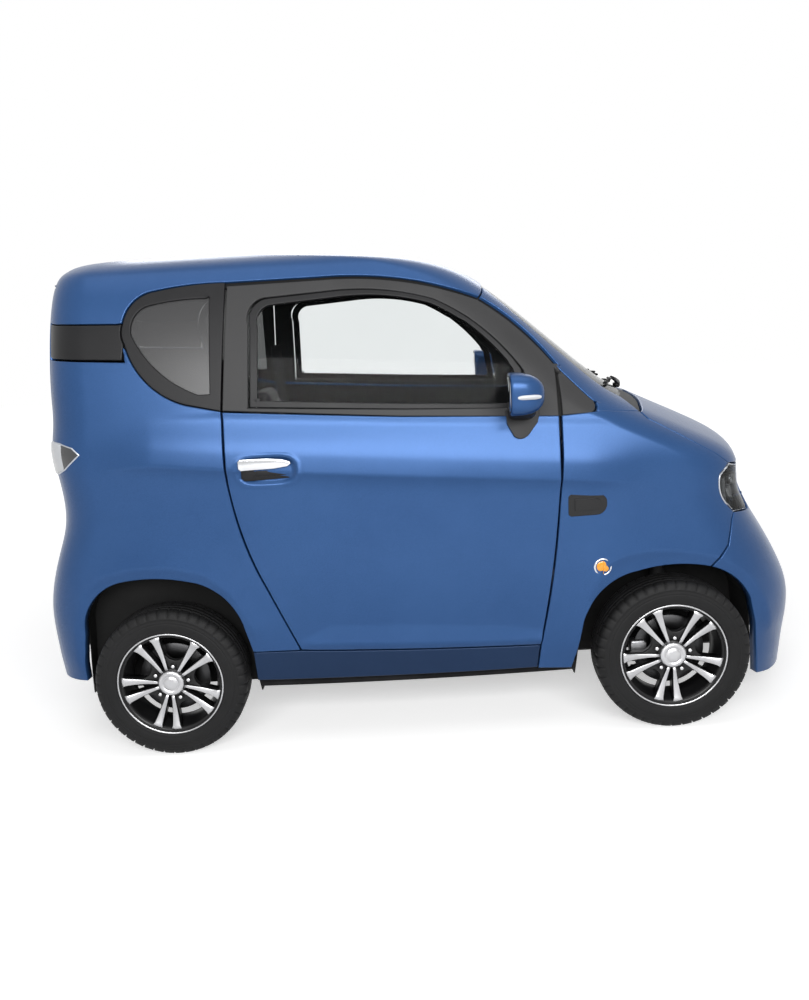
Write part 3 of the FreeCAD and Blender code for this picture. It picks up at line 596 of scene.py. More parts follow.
def roundRing(centre, first, second, halfFirst, halfSecond, power=4.0, count=32):
    # a ring between an ellipse and a rounded rectangle
    centre, first, second = Vector(centre), Vector(first), Vector(second)
    ring = []
    for k in range(count):
        angle = 2 * math.pi * k / count
        c, s = math.cos(angle), math.sin(angle)
        ring.append(centre + first * math.copysign(abs(c) ** (2 / power), c) * halfFirst
                    + second * math.copysign(abs(s) ** (2 / power), s) * halfSecond)
    return ring


def skinSpot(kind, first, z):
    # a place on the shell of the right side and the way out of it
    a, b = surface.locate(kind, first, z)
    a, b = np.array([a]), np.array([b])
    return Vector(surface.place(a, b)[0]), Vector(surface.normals(a, b)[0])


def aimed(bm, spot, normal):
    # turns a piece made facing the car's right so that it faces along the normal
    turn = Vector((0, -1, 0)).rotation_difference(normal).to_matrix()
    bmesh.ops.rotate(bm, verts=bm.verts[:], cent=(0, 0, 0), matrix=turn)
    bmesh.ops.translate(bm, verts=bm.verts[:], vec=spot)
    return bm


def within(stretches, amount):
    # the same outline drawn in by an amount, as a stretch for a panel
    loop = shiftOutline(shellOutline(stretches), amount, False)
    return [("shell", loop + loop[:1])]


class Value:
    # a socket that takes part in plain arithmetic
    def __init__(self, maker, socket):
        self.maker = maker
        self.socket = socket

    def join(self, operation, other):
        return self.maker.node("ShaderNodeMath", {"operation": operation}, {0: self, 1: other})

    def __add__(self, other):
        return self.join("ADD", other)

    def __sub__(self, other):
        return self.join("SUBTRACT", other)

    def __rsub__(self, other):
        return self.maker.node("ShaderNodeMath", {"operation": "SUBTRACT"}, {0: other, 1: self})

    def __mul__(self, other):
        return self.join("MULTIPLY", other)

    def __truediv__(self, other):
        return self.join("DIVIDE", other)

    __radd__ = __add__
    __rmul__ = __mul__

    def clamp(self):
        return self.maker.node("ShaderNodeClamp", {}, {0: self})


class NodeTree:
    # nodes of a material or of the world
    def __init__(self, tree):
        self.tree = tree

    def node(self, kind, settings=None, inputs=None, output=0):
        made = self.tree.nodes.new(kind)
        for key, value in (settings or {}).items():
            if key == "stops":
                while len(made.color_ramp.elements) < len(value):
                    made.color_ramp.elements.new(0.5)
                for element, (position, colour) in zip(made.color_ramp.elements, value):
                    element.position = position
                    element.color = (*colour, 1)
            else:
                setattr(made, key, value)
        for key, value in (inputs or {}).items():
            self.feed(made.inputs[key], value)
        return Value(self, made.outputs[output])

    def feed(self, socket, value):
        if isinstance(value, Value):
            self.tree.links.new(value.socket, socket)
        elif hasattr(socket.default_value, "__len__") and len(value) == 3 and len(socket.default_value) == 4:
            socket.default_value = (*value, 1)
        else:
            socket.default_value = value

    def show(self, value, target="Material Output"):
        self.tree.links.new(value.socket, self.tree.nodes[target].inputs[0])

    def seen(self):
        # 1 for what the camera sees, straight, in a reflection or through glass
        path = self.node("ShaderNodeLightPath").socket.node
        camera, mirrored, through = (Value(self, path.outputs[f"Is {ray} Ray"])
                                     for ray in ("Camera", "Glossy", "Transmission"))
        return (camera + mirrored + through).clamp()


class Finish(NodeTree):
    # one material made of nodes
    sockets = {
        "colour": "Base Color", "rough": "Roughness", "metal": "Metallic", "coat": "Coat Weight",
        "coatRough": "Coat Roughness", "specular": "Specular IOR Level", "normal": "Normal", "sheen": "Sheen Weight",
    }

    def __init__(self, name, **values):
        self.material = bpy.data.materials.new(name)
        self.material.use_nodes = True
        super().__init__(self.material.node_tree)
        self.shader = self.tree.nodes["Principled BSDF"]
        self.spot = self.node("ShaderNodeTexCoord", {}, {}, "Object")
        self.set(**values)

    def set(self, **values):
        for key, value in values.items():
            self.feed(self.shader.inputs[self.sockets[key]], value)

    def noise(self, scale, detail):
        sockets = {"Vector": self.spot, "Scale": scale, "Detail": detail, "Roughness": 0.55}
        return self.node("ShaderNodeTexNoise", {}, sockets)

    def ramp(self, value, *stops):
        return self.node("ShaderNodeValToRGB", {"stops": stops}, {0: value})

    def bump(self, height, distance, strength=1.0):
        return self.node("ShaderNodeBump", {}, {"Height": height, "Distance": distance, "Strength": strength})


def moulded(name, colour, rough, grain=900, depth=0.00008, spread=0.25, **sockets):
    # plastic or rubber with a fine grain and slightly uneven colour
    finish = Finish(name, **sockets)
    cloudy = finish.noise(7, 4)
    fine = finish.noise(grain, 2)
    light = tuple(c * (1 + spread) + 0.004 * spread for c in colour)
    dark = tuple(c * (1 - spread) for c in colour)
    finish.set(colour=finish.ramp(cloudy * 0.7 + fine * 0.3, (0.35, dark), (0.65, light)),
               rough=(cloudy * 0.16 + fine * 0.1 + (rough - 0.13)).clamp(),
               normal=finish.bump(fine, depth))
    return finish.material


def metalled(name, colour, rough, grain=300, depth=0.00003, **sockets):
    finish = Finish(name, metal=1.0, **sockets)
    fine = finish.noise(grain, 3)
    smear = finish.noise(9, 5)
    light = tuple(min(c * 1.08, 1) for c in colour)
    dark = tuple(c * 0.85 for c in colour)
    finish.set(colour=finish.ramp(smear, (0.3, dark), (0.7, light)), rough=(smear * 0.14 + (rough - 0.07)).clamp(),
               normal=finish.bump(fine, depth))
    return finish.material


paintLook = {
    "deep": (0.020, 0.067, 0.190), "light": (0.032, 0.092, 0.240), "metal": 0.34, "rough": 0.29,
    "flake": 2600, "coat": 0.14,
}


def bodyPaint(name="bluePaint", deep=1.0):
    # deep below 1 scales the paint's colours down, giving a darker copy that paints shade
    finish = Finish(name, coat=paintLook["coat"], coatRough=0.25, specular=0.15)
    flake = finish.node("ShaderNodeTexVoronoi", {}, {"Vector": finish.spot, "Scale": paintLook["flake"]}, "Color")
    sparkle = finish.node("ShaderNodeSeparateXYZ", {}, {0: flake}, 0)
    cloudy = finish.noise(3, 3)
    peel = finish.noise(420, 2)
    dark, light = (tuple(c * deep for c in paintLook[key]) for key in ("deep", "light"))
    finish.set(colour=finish.ramp(sparkle * 0.55 + cloudy * 0.45, (0.3, dark), (0.75, light)),
               metal=(sparkle * 0.25 + (paintLook["metal"] - 0.12)).clamp(),
               rough=(cloudy * 0.08 + sparkle * 0.08 + (paintLook["rough"] - 0.08)).clamp(),
               normal=finish.bump(peel, 0.00002))
    return finish.material


def paneGlass(name, tint, share, rough=0.02):
    # thin glass: mostly see-through, with a reflection that grows at grazing angles
    finish = Finish(name, colour=tint, rough=rough, specular=0.6)
    haze = finish.noise(4, 3)
    edge = finish.node("ShaderNodeLayerWeight", {}, {"Blend": 0.28}, "Fresnel")
    clear = finish.node("ShaderNodeBsdfTransparent", {}, {"Color": (0.97, 0.98, 0.98)})
    body = Value(finish, finish.shader.outputs[0])
    blend = {0: (edge * 0.75 + haze * 0.02 + share).clamp(), 1: clear, 2: body}
    finish.show(finish.node("ShaderNodeMixShader", {}, blend))
    return finish.material


paint = bodyPaint()
# the sill has the same paint as the body; this copy at 0.35 of its colour is painted shade
sillPaintedShade = bodyPaint("sillPaintedShade", 0.35)
frameGrey = moulded("frameGrey", (0.040, 0.040, 0.041), 0.50, 1400, 0.00003, 0.08, specular=0.22)
trimBlack = moulded("trimBlack", (0.009, 0.009, 0.010), 0.42, 1500, 0.00003, 0.2, specular=0.22)
bandBlack = moulded("bandBlack", (0.013, 0.013, 0.014), 0.35, 1500, 0.00002, 0.1, specular=0.2)
glossBlack = moulded("glossBlack", (0.006, 0.006, 0.007), 0.20, 1500, 0.00001, 0.2, specular=0.3)
rubberBlack = moulded("rubberBlack", (0.007, 0.007, 0.007), 0.62, 1100, 0.00006, 0.3, specular=0.15)
cabinPlastic = moulded("cabinPlastic", (0.014, 0.0145, 0.0155), 0.58, 700, 0.0002, 0.15, specular=0.2)
headLining = moulded("headLining", (0.060, 0.061, 0.064), 0.9, 2000, 0.0002, 0.12, specular=0.2, sheen=0.3)
carpet = moulded("carpet", (0.012, 0.012, 0.013), 0.95, 1300, 0.0006, 0.5, specular=0.1, sheen=0.2)
darkPanel = moulded("darkPanel", (0.020, 0.021, 0.023), 0.6, 600, 0.0001, 0.2, specular=0.3)
chassisBlack = moulded("chassisBlack", (0.016, 0.016, 0.017), 0.42, 200, 0.0001, 0.4, specular=0.5)
caseGrey = moulded("caseGrey", (0.12, 0.125, 0.13), 0.5, 400, 0.0001, 0.15)
chrome = metalled("chrome", (0.62, 0.63, 0.65), 0.16)
castMetal = metalled("castMetal", (0.30, 0.30, 0.31), 0.42, 500, 0.0002)
discMetal = metalled("discMetal", (0.060, 0.060, 0.062), 0.45)
clearGlass = paneGlass("clearGlass", (0.010, 0.011, 0.011), 0.0)
smokedGlass = paneGlass("smokedGlass", (0.045, 0.045, 0.047), 0.62, 0.3)
print("materials ready")

# Lines of the body seen from the side (x, z), in metres; "via" marks the middle of an arc.
lines = {
    "doorFront": [(0.398, 0.318), (0.462, 0.690, "via"), (0.486, 1.064)],
    "belt": [(-0.577, 1.142), (-0.017, 1.095), (0.486, 1.064)],
    "doorHead": [(0.486, 1.064), (0.484, 1.218), (0.381, 1.333, "via"), (0.250, 1.436), (0.020, 1.505, "via"),
                 (-0.245, 1.528), (-0.543, 1.528)],
    "doorBack": [(-0.577, 1.142), (-0.576, 0.920), (-0.548, 0.752, "via"), (-0.486, 0.575), (-0.390, 0.345)],
    "doorFoot": [(-0.390, 0.345), (-0.065, 0.332, "via"), (0.398, 0.318)],
    "roofEdge": [(0.496, 1.069), (0.494, 1.218), (0.391, 1.343, "via"), (0.258, 1.447), (0.024, 1.517, "via"),
                 (-0.245, 1.539), (-0.543, 1.539)],
    "window": [(0.394, 1.096), (0.374, 1.214), (0.280, 1.328, "via"), (0.107, 1.449), (-0.030, 1.483, "via"),
               (-0.215, 1.492), (-0.420, 1.482), (-0.462, 1.458, "via"), (-0.474, 1.400), (-0.488, 1.150),
               (-0.017, 1.118)],
    "quarter": [(-0.577, 1.142), (-0.690, 1.168), (-0.812, 1.245, "via"), (-0.875, 1.366), (-0.884, 1.400, "via"),
                (-0.878, 1.431)],
    "quarterTop": [(-0.878, 1.431), (-0.845, 1.491, "via"), (-0.768, 1.526), (-0.660, 1.538, "via"), (-0.543, 1.539)],
    "rearArch": [(-1.134, 0.250), (-1.127, 0.318), (-1.109, 0.428), (-1.064, 0.546, "via"), (-0.971, 0.601),
                 (-0.856, 0.611, "via"), (-0.744, 0.598), (-0.640, 0.551, "via"), (-0.574, 0.448), (-0.551, 0.345)],
    "frontArch": [(0.500, 0.224), (0.516, 0.278), (0.540, 0.390), (0.600, 0.488, "via"), (0.721, 0.546),
                  (0.849, 0.559, "via"), (0.962, 0.542)],
    "frontArchNose": [(0.962, 0.542), (1.050, 0.490, "via"), (1.097, 0.420), (1.119, 0.329), (1.145, 0.128)],
    "bumperSeam": [(0.962, 0.542), (1.018, 0.607), (1.040, 0.683)],
    "lampRim": [(1.052, 0.706), (1.020, 0.742), (0.998, 0.790, "via"), (1.000, 0.838), (1.041, 0.867)],
    "bonnetSide": [(1.041, 0.867), (0.988, 0.906), (0.937, 0.936), (0.874, 0.974), (0.813, 1.009), (0.776, 1.030),
                   (0.758, 1.051)],
    "pillarFoot": [(0.758, 1.051), (0.734, 1.056), (0.612, 1.070), (0.590, 1.068)],
    "triangleTop": [(0.484, 1.218), (0.590, 1.108), (0.604, 1.082, "via"), (0.590, 1.068)],
    "crease": [(-1.02, 0.976), (-0.938, 0.981), (-0.811, 0.986), (-0.577, 0.962), (-0.342, 0.941), (-0.029, 0.913),
               (0.285, 0.887), (0.598, 0.858), (0.80, 0.830)],
    "rearFlare": [(-1.150, 0.300), (-1.138, 0.450), (-1.094, 0.571), (-1.033, 0.622), (-0.927, 0.648), (-0.794, 0.650),
                  (-0.679, 0.622), (-0.605, 0.560), (-0.545, 0.430)],
    "frontFlare": [(0.520, 0.300), (0.562, 0.476), (0.611, 0.575), (0.677, 0.607), (0.760, 0.614), (0.860, 0.606),
                   (0.992, 0.570), (1.090, 0.500), (1.150, 0.400), (1.180, 0.300)],
    "ledgeTop": [(-0.400, 0.372), (-0.356, 0.392), (-0.288, 0.427), (-0.059, 0.420), (0.265, 0.394), (0.404, 0.372)],
    "shoulderFoot": [(-0.6, 1.114), (0.0, 1.067), (0.5, 1.030), (0.76, 1.012)],
    "shoulderTop": [(-0.6, 1.147), (0.0, 1.100), (0.5, 1.069), (0.76, 1.052)],
    "ledgeFoot": [(-0.400, 0.371), (-0.356, 0.369), (0.000, 0.355), (0.410, 0.340)],
}
# Edges of the windscreen seen from the front and of the tailgate seen from the rear (y, z).
screenEdge = [(-0.405, 1.478), (-0.440, 1.392), (-0.461, 1.270), (-0.466, 1.130), (-0.455, 1.094)]
gateEdge = [(-0.500, 0.745), (-0.506, 1.080), (-0.470, 1.340), (-0.440, 1.446), (-0.408, 1.560)]
relief = {
    "crease": 0.015, "creaseUp": 0.15, "creaseDown": 0.030, "creaseRound": 0.003,
    "flare": 0.012, "flareIn": 0.040, "flareOut": 0.075, "flareRound": 0.0025, "flareFoot": 0.2,
    "ledge": 0.010, "shoulder": 0.003,
}


def along(name, turned=False):
    # a named line seen from the side, from its far end when turned
    return "side", lines[name][::-1] if turned else lines[name]


def closed(kind, *points):
    # an outline of one closed stretch
    return [(kind, [*points, points[0]])]


def heightOn(name, x):
    return np.interp(x, *np.array(lines[name]).T)


def swell(distance, radius, reach):
    # 1 on a line, falling off over the reach, with a rounded ridge
    return np.exp(-(np.sqrt(distance ** 2 + radius ** 2) - radius) / reach)


def bodyRelief(points):
    # waist crease, wheel arch flares and the dark shoulder under the windows
    x, z = points[:, 0], points[:, 2]
    above = z - heightOn("crease", x)
    reach = np.where(above > 0, relief["creaseUp"], relief["creaseDown"])
    fade = ramp(x, -1.0, -0.80) * (1 - ramp(x, 0.55, 0.80)) * (1 - ramp(above, 0.05, 0.18))
    push = relief["crease"] * fade * swell(above, relief["creaseRound"], reach)
    shoulder = ramp(z, heightOn("shoulderFoot", x), heightOn("shoulderTop", x))
    push += relief["shoulder"] * shoulder * ramp(x, -0.9, -0.6) * (1 - ramp(x, 0.6, 0.75))
    flat = points[:, [0, 2]]
    for name in ("rearFlare", "frontFlare"):
        line = lines[name]
        ends = [(line[i][0], relief["flareFoot"]) for i in (0, -1)]
        reach = np.where(insideLoop(flat, ends[:1] + line + ends[1:]), relief["flareIn"], relief["flareOut"])
        push += relief["flare"] * swell(lineDistance(flat, line), relief["flareRound"], reach) * ramp(z, 0.22, 0.34)
    return push


handle = {"x": (-0.541, -0.347), "z": (0.908, 0.999), "lip": 0.0025, "depth": 0.013}


def doorRelief(points):
    x, z = points[:, 0], points[:, 2]
    push = bodyRelief(points)
    top, foot = heightOn("ledgeTop", x), heightOn("ledgeFoot", x)
    share = np.clip((top - z) / np.maximum(top - foot, 0.004), 0, 1)
    push += relief["ledge"] * share * ramp(x, -0.40, -0.34) * (1 - 0.6 * ramp(foot - z, 0.0, 0.02))
    u, w = (np.abs((value - sum(ends) / 2) / (0.5 * (ends[1] - ends[0])))
            for value, ends in ((x, handle["x"]), (z, handle["z"])))
    radial = (u ** 4 + w ** 2.6) ** (1 / 3.2)
    push -= handle["depth"] * (1 - ramp(radial, 0.80, 0.97))
    push += handle["lip"] * np.exp(-((radial - 1.04) / 0.06) ** 2)
    return push


creaseSlope = -0.075     # the rows of the side panels run along the crease
creaseB = float(surface.heightToV(0.913)) - creaseSlope * surface.locate("side", -0.029, 0.913)[0]
creaseRows = [("up", creaseB - 0.020, creaseB + 0.020, 0.004)]
sideCell = 0.010

print("building the panels")
makePanel("doorSkin", "door_{side}", [[along("belt"), along("doorFront", True), along("doorFoot", True),
          along("doorBack", True)]], [paint, cabinPlastic], ["door_panel_{side}"], relief=doorRelief, cell=0.009,
          seam=0.006, slope=creaseSlope, fine=creaseRows)
makePanel("doorFrame", "door_{side}", [[along("doorHead"), ("side", [(-0.543, 1.528), (-0.577, 1.142)]), along("belt")],
          [along("window")]], [frameGrey, cabinPlastic], ["door_frame_{side}"], seam=0.006, cell=0.012)
windowInner = within([along("window")], 0.025)
makePanel("glassSurround", "door_{side}", [[along("window")], windowInner], [trimBlack, cabinPlastic], seam=0.001,
          inset=0.004, wall=0.012, cell=0.03)
makePanel("doorPane", "door_{side}", [[along("window")]], [clearGlass, clearGlass], ["door_glass_{side}"],
          inset=0.014, wall=0.004, seam=-0.020, cell=0.03)
makePanel("frontFender", "car_body", [[along("doorFront"), ("side", [(0.486, 1.064), (0.590, 1.068)]),
          along("pillarFoot", True), along("bonnetSide", True), along("lampRim", True), along("bumperSeam", True),
          along("frontArch", True), ("side", [(0.386, 0.232), (0.398, 0.318)])]], [paint, darkPanel], ["front_fenders"],
          relief=bodyRelief, cell=sideCell, slope=creaseSlope, fine=creaseRows)
roofEdge = lines["roofEdge"]
makePanel("screenPillar", "car_body", [[("side", roofEdge[1:4]), ("front", screenEdge),
          along("pillarFoot"), along("triangleTop", True)]], [paint, cabinPlastic], ["windscreen_pillars"], cell=0.012)
makePanel("cornerTrim", "car_body", [[("side", [(0.489, 1.067), (0.488, 1.217), (0.494, 1.218)]), along("triangleTop"),
          ("side", [(0.590, 1.068), (0.489, 1.067)])]], [frameGrey, cabinPlastic], inset=0.001, cell=0.02)
makePanel("doorSeal", "car_body", [[("side", [(0.480, 1.066)]), ("side", [(0.478, 1.216), (0.374, 1.330, "via"),
          (0.243, 1.431), (0.018, 1.500, "via"), (-0.245, 1.523), (-0.600, 1.523)]),
          ("side", [(-0.600, 1.545), (-0.245, 1.545), (0.026, 1.523, "via"), (0.264, 1.453), (0.397, 1.350, "via"),
          (0.502, 1.220), (0.504, 1.064)])]], [rubberBlack, rubberBlack], inset=0.010, wall=0.012, seam=0.0, cell=0.03)
makePanel("rearQuarter", "car_body", [[along("doorBack", True), ("side", lines["quarter"][:4] + [(-0.880, 1.3125)]),
          ("side", [(-0.884, 1.3125), (-1.132, 1.330)]), ("rear", [(-0.4735, 1.333)] + gateEdge[1::-1]),
          ("rear", [(-0.500, 0.745), (-0.500, 0.250)]), ("side", [(-1.205, 0.250)]), along("rearArch")]],
          [paint, darkPanel], ["rear_quarters"], relief=bodyRelief, cell=sideCell, slope=creaseSlope, fine=creaseRows)
makePanel("quarterBand", "car_body", [[("side", [(-0.884, 1.3165), (-0.876, 1.366), (-0.8845, 1.400, "via"),
          (-0.878, 1.431)]), ("side", [(-0.898, 1.430), (-1.117, 1.441)]),
          ("rear", [(-0.440, 1.446), (-0.4735, 1.337)]), ("side", [(-1.132, 1.333), (-0.884, 1.3165)])]],
          [bandBlack, cabinPlastic], inset=0.0015, cell=0.02)
quarterOutline = [along("quarter"), along("quarterTop"), ("side", [(-0.543, 1.528), (-0.577, 1.142)])]
quarterHole = closed("side", (-0.613, 1.200), (-0.648, 1.200), (-0.790, 1.300, "via"), (-0.850, 1.395),
                     (-0.840, 1.445, "via"), (-0.780, 1.482), (-0.690, 1.492, "via"), (-0.600, 1.492))
makePanel("quarterTrim", "car_body", [quarterOutline, quarterHole], [trimBlack, cabinPlastic], ["quarter_trims"],
          inset=0.001, cell=0.02)
makePanel("quarterPane", "car_body", [quarterHole], [smokedGlass, smokedGlass], ["quarter_windows"], inset=0.008,
          wall=0.004, seam=-0.012, cell=0.03)
makePanel("roofSkin", "car_body", [[("front", [(0, 1.500), (-0.200, 1.4945, "via"), (-0.405, 1.478)]),
          ("side", [(0.258, 1.447)]), ("side", roofEdge[3:]), along("quarterTop", True),
          ("side", [(-0.898, 1.430), (-1.117, 1.441)]), ("rear", gateEdge[3:]), ("rear", [(-0.408, 1.560), (0, 1.560)]),
          ("shell", [(0, surface.top + 0.14), (surface.around, surface.top + 0.14),
          (surface.around, float(surface.heightToV(1.500)))])]], [paint, headLining], ["roof_panel"], halves=True,
          cell=0.016)
makePanel("gateSkin", "tailgate", [[("rear", [(0, 0.745)] + gateEdge + [(0, 1.560)]),
          ("rear", [(0, 1.440), (-0.392, 1.430), (-0.425, 1.165), (0, 1.155), (0, 0.745)])]], [paint, cabinPlastic],
          ["tailgate_panel"], halves=True, cell=0.014, seam=0.005)
makePanel("gatePane", "tailgate", [closed("rear", (0, 1.155), (-0.425, 1.165), (-0.392, 1.430), (0, 1.440))],
          [smokedGlass, smokedGlass], ["tailgate_glass"], halves=True, inset=0.004, wall=0.004, seam=0.001, cell=0.03)
makePanel("screenPane", "car_body", [[("front", [(0, 1.500), (-0.200, 1.4945, "via"),
          (-0.405, 1.478)] + screenEdge[1:] + [(-0.200, 1.103, "via"), (0, 1.106)]),
          ("front", [(0, 1.106), (0, 1.500)])]], [clearGlass, clearGlass], ["windscreen"], halves=True, inset=0.005,
          wall=0.005, seam=0.003, cell=0.03)
makePanel("cowlPanel", "car_body", [[("front", [(0, 1.106), (-0.200, 1.103, "via"), (-0.455, 1.094), (-0.475, 1.078)]),
          ("side", [(0.758, 1.051)]), ("front", [(-0.389, 1.062), (0, 1.074), (0, 1.106)])]],
          [cabinPlastic, cabinPlastic], ["cowl_panel"], halves=True, inset=0.008, cell=0.012)
makePanel("bonnetSkin", "bonnet", [[("front", [(0, 1.074), (-0.389, 1.062)]), along("bonnetSide", True),
          ("front", [(-0.470, 0.856), (-0.300, 0.850), (0, 0.850)]), ("front", [(0, 0.850), (0, 1.074)])]],
          [paint, darkPanel], ["bonnet_panel"], halves=True, cell=0.014, seam=0.005)
makePanel("noseSkin", "car_body", [[("front", [(0, 0.845), (-0.300, 0.845), (-0.330, 0.835), (-0.350, 0.720),
          (-0.45, 0.690)]), ("side", [(1.052, 0.706)]), along("bumperSeam", True), along("frontArchNose"),
          ("front", [(-0.500, 0.120), (0, 0.118)]), ("front", [(0, 0.175), (-0.360, 0.175), (-0.380, 0.195),
          (-0.380, 0.280), (-0.360, 0.300), (0, 0.300), (0, 0.845)])]], [paint, darkPanel], ["front_bumper"],
          relief=bodyRelief, halves=True, cell=0.012, inset=0.0004)
# the sill wears the darkened copy of the body paint: painted shade
makePanel("sillSkin", "car_body", [[("side", [(-0.551, 0.345), (-0.390, 0.345)]), along("doorFoot"),
          ("side", [(0.386, 0.235), (-0.547, 0.240), (-0.551, 0.345)])]], [sillPaintedShade, darkPanel], ["sill_panels"],
          cell=0.014)
makePanel("rearSkin", "car_body", [[("rear", [(0, 0.742), (-0.497, 0.742), (-0.497, 0.250), (0, 0.250)]),
          ("rear", [(0, 0.250), (0, 0.742)])]], [paint, darkPanel], ["rear_bumper"], halves=True, cell=0.014,
          inset=0.0030)

print("building the wheels")
wheel = {
    "x": 0.832, "y": 0.587, "radius": 0.254, "tyreHalf": 0.0725, "treadHalf": 0.052, "rim": 0.177, "lipHalf": 0.063,
    "pitches": 44, "grooves": (0.034, 0.012), "grooveHalf": 0.0028, "grooveDeep": 0.0068, "kingpin": 0.548,
    "spokeFoot": 0.0115, "spokeEnd": 0.029, "lean": 11.5, "spokeInner": 0.050, "spokeOuter": 0.163, "spokeSteps": 8,
    "pairs": 5, "webRadius": 0.077, "webBow": 0.036, "nutCircle": 0.0575, "dish": 0.007, "face": 0.052,
    "shoulderCut": 0.0065, "ribCut": 0.0035,     # depth of the cross cuts
    "turns": {"front": 42, "rear": 191},     # how far each rim is turned, in degrees
}


def tyreMesh():
    # one pitch of the tread is turned in narrow steps, cut into blocks, and repeated round the wheel
    half = wheel["tyreHalf"]
    tread = wheel["treadHalf"]
    top = wheel["radius"]
    profile = [(0.166, 0.0600), (0.1745, 0.0612), (0.1775, 0.0640), (0.1790, 0.0672), (0.1830, 0.0692),
               (0.1838, 0.0690), (0.1900, 0.0712), (0.2000, 0.0723), (0.2090, half), (0.2120, half), (0.2128, 0.0717),
               (0.2140, half), (0.2200, 0.0717), (0.2262, 0.0700), (0.2270, 0.0706), (0.2300, 0.0700), (0.2400, 0.0662),
               (0.2462, 0.0620), (0.2500, 0.0570), (0.2518, tread), (0.2530, 0.0440)]
    wide, deep = wheel["grooveHalf"], wheel["grooveDeep"]
    for groove in wheel["grooves"]:
        profile += [(top - 0.0004, groove + wide), (top - deep, groove + wide * 0.7), (top - deep, groove - wide * 0.7),
                    (top - 0.0002, groove - wide)]
    profile.append((top, 0.004))
    outer = [(r, -u) for r, u in profile]
    full = outer + [(r, u) for r, u in reversed(profile)]
    pitch = 2 * math.pi / wheel["pitches"]
    bm = bmesh.new()
    ring = [bm.verts.new((r, u, 0)) for r, u in full]
    edges = [bm.edges.new(pair) for pair in zip(ring[:-1], ring[1:])]
    geom = ring + edges
    for share in (0.10, 0.08, 0.32, 0.32, 0.18):
        geom = bmesh.ops.spin(bm, geom=geom, cent=(0, 0, 0), axis=(0, 1, 0), angle=pitch * share, steps=1)["geom_last"]
    bmesh.ops.recalc_face_normals(bm, faces=bm.faces[:])
    # the cross cut between two blocks sinks
    for v in bm.verts:
        reach = math.hypot(v.co.x, v.co.z)
        angle = math.atan2(-v.co.z, v.co.x) / pitch % 1.0
        wide = abs(v.co.y)
        onShoulder = 0.0405 < wide < 0.0695 and reach > 0.2285
        onRib = 0.013 < wide < 0.0405 and reach > 0.2525
        if 0.07 < angle < 0.12 and (onShoulder or onRib):
            scale = (reach - wheel["shoulderCut" if onShoulder else "ribCut"]) / reach
            v.co.y *= 1 - 0.05 * onShoulder
            v.co.x *= scale
            v.co.z *= scale
    start = bm.verts[:] + bm.edges[:] + bm.faces[:]
    for index in range(1, wheel["pitches"]):
        copy = bmesh.ops.duplicate(bm, geom=start)["geom"]
        bmesh.ops.rotate(bm, verts=[g for g in copy if isinstance(g, bmesh.types.BMVert)], cent=(0, 0, 0),
                         matrix=Matrix.Rotation(pitch * index, 3, "Y"))
    bmesh.ops.remove_doubles(bm, verts=bm.verts[:], dist=0.00006)
    # the inside of the tyre closes the ring towards the rim
    rims = [e for e in bm.edges if e.is_boundary]
    bmesh.ops.bridge_loops(bm, edges=rims)
    bmesh.ops.recalc_face_normals(bm, faces=bm.faces[:])
    return bm


def spokePlate(sign, number):
    # one spoke of a pair, lying along +Z and leaning to its side; the outer face is slightly dished
    lean = math.radians(wheel["lean"]) * sign
    bm = bmesh.new()
    rows = []
    for i in range(wheel["spokeSteps"] + 1):
        share = i / wheel["spokeSteps"]
        reach = wheel["spokeInner"] - 0.006 + (wheel["spokeOuter"] - wheel["spokeInner"] + 0.010) * share
        width = wheel["spokeFoot"] + (wheel["spokeEnd"] - wheel["spokeFoot"]) * share ** 1.25
        flare = 0.006 * max(share - 0.86, 0) / 0.14
        face = -(wheel["face"] + 0.006 * share - wheel["dish"] * math.sin(math.pi * share))
        half = width / 2 + flare
        rows.append([bm.verts.new((reach * math.sin(lean) + across * math.cos(lean), face + depth,
                                   reach * math.cos(lean) - across * math.sin(lean)))
                     for across, depth in ((-half - 0.003, 0.030), (-half, 0.0016), (-half + 0.0016, 0),
                                           (half - 0.0016, 0), (half, 0.0016), (half + 0.003, 0.030))])
    for low, high in zip(rows[:-1], rows[1:]):
        for k in range(5):
            face = bm.faces.new((low[k], low[k + 1], high[k + 1], high[k]))
            face.material_index = number if k == 2 else 0
        bm.faces.new((low[5], low[0], high[0], high[5]))
    for row in (rows[0], rows[-1]):
        bm.faces.new(row)
    bmesh.ops.recalc_face_normals(bm, faces=bm.faces[:])
    return bm


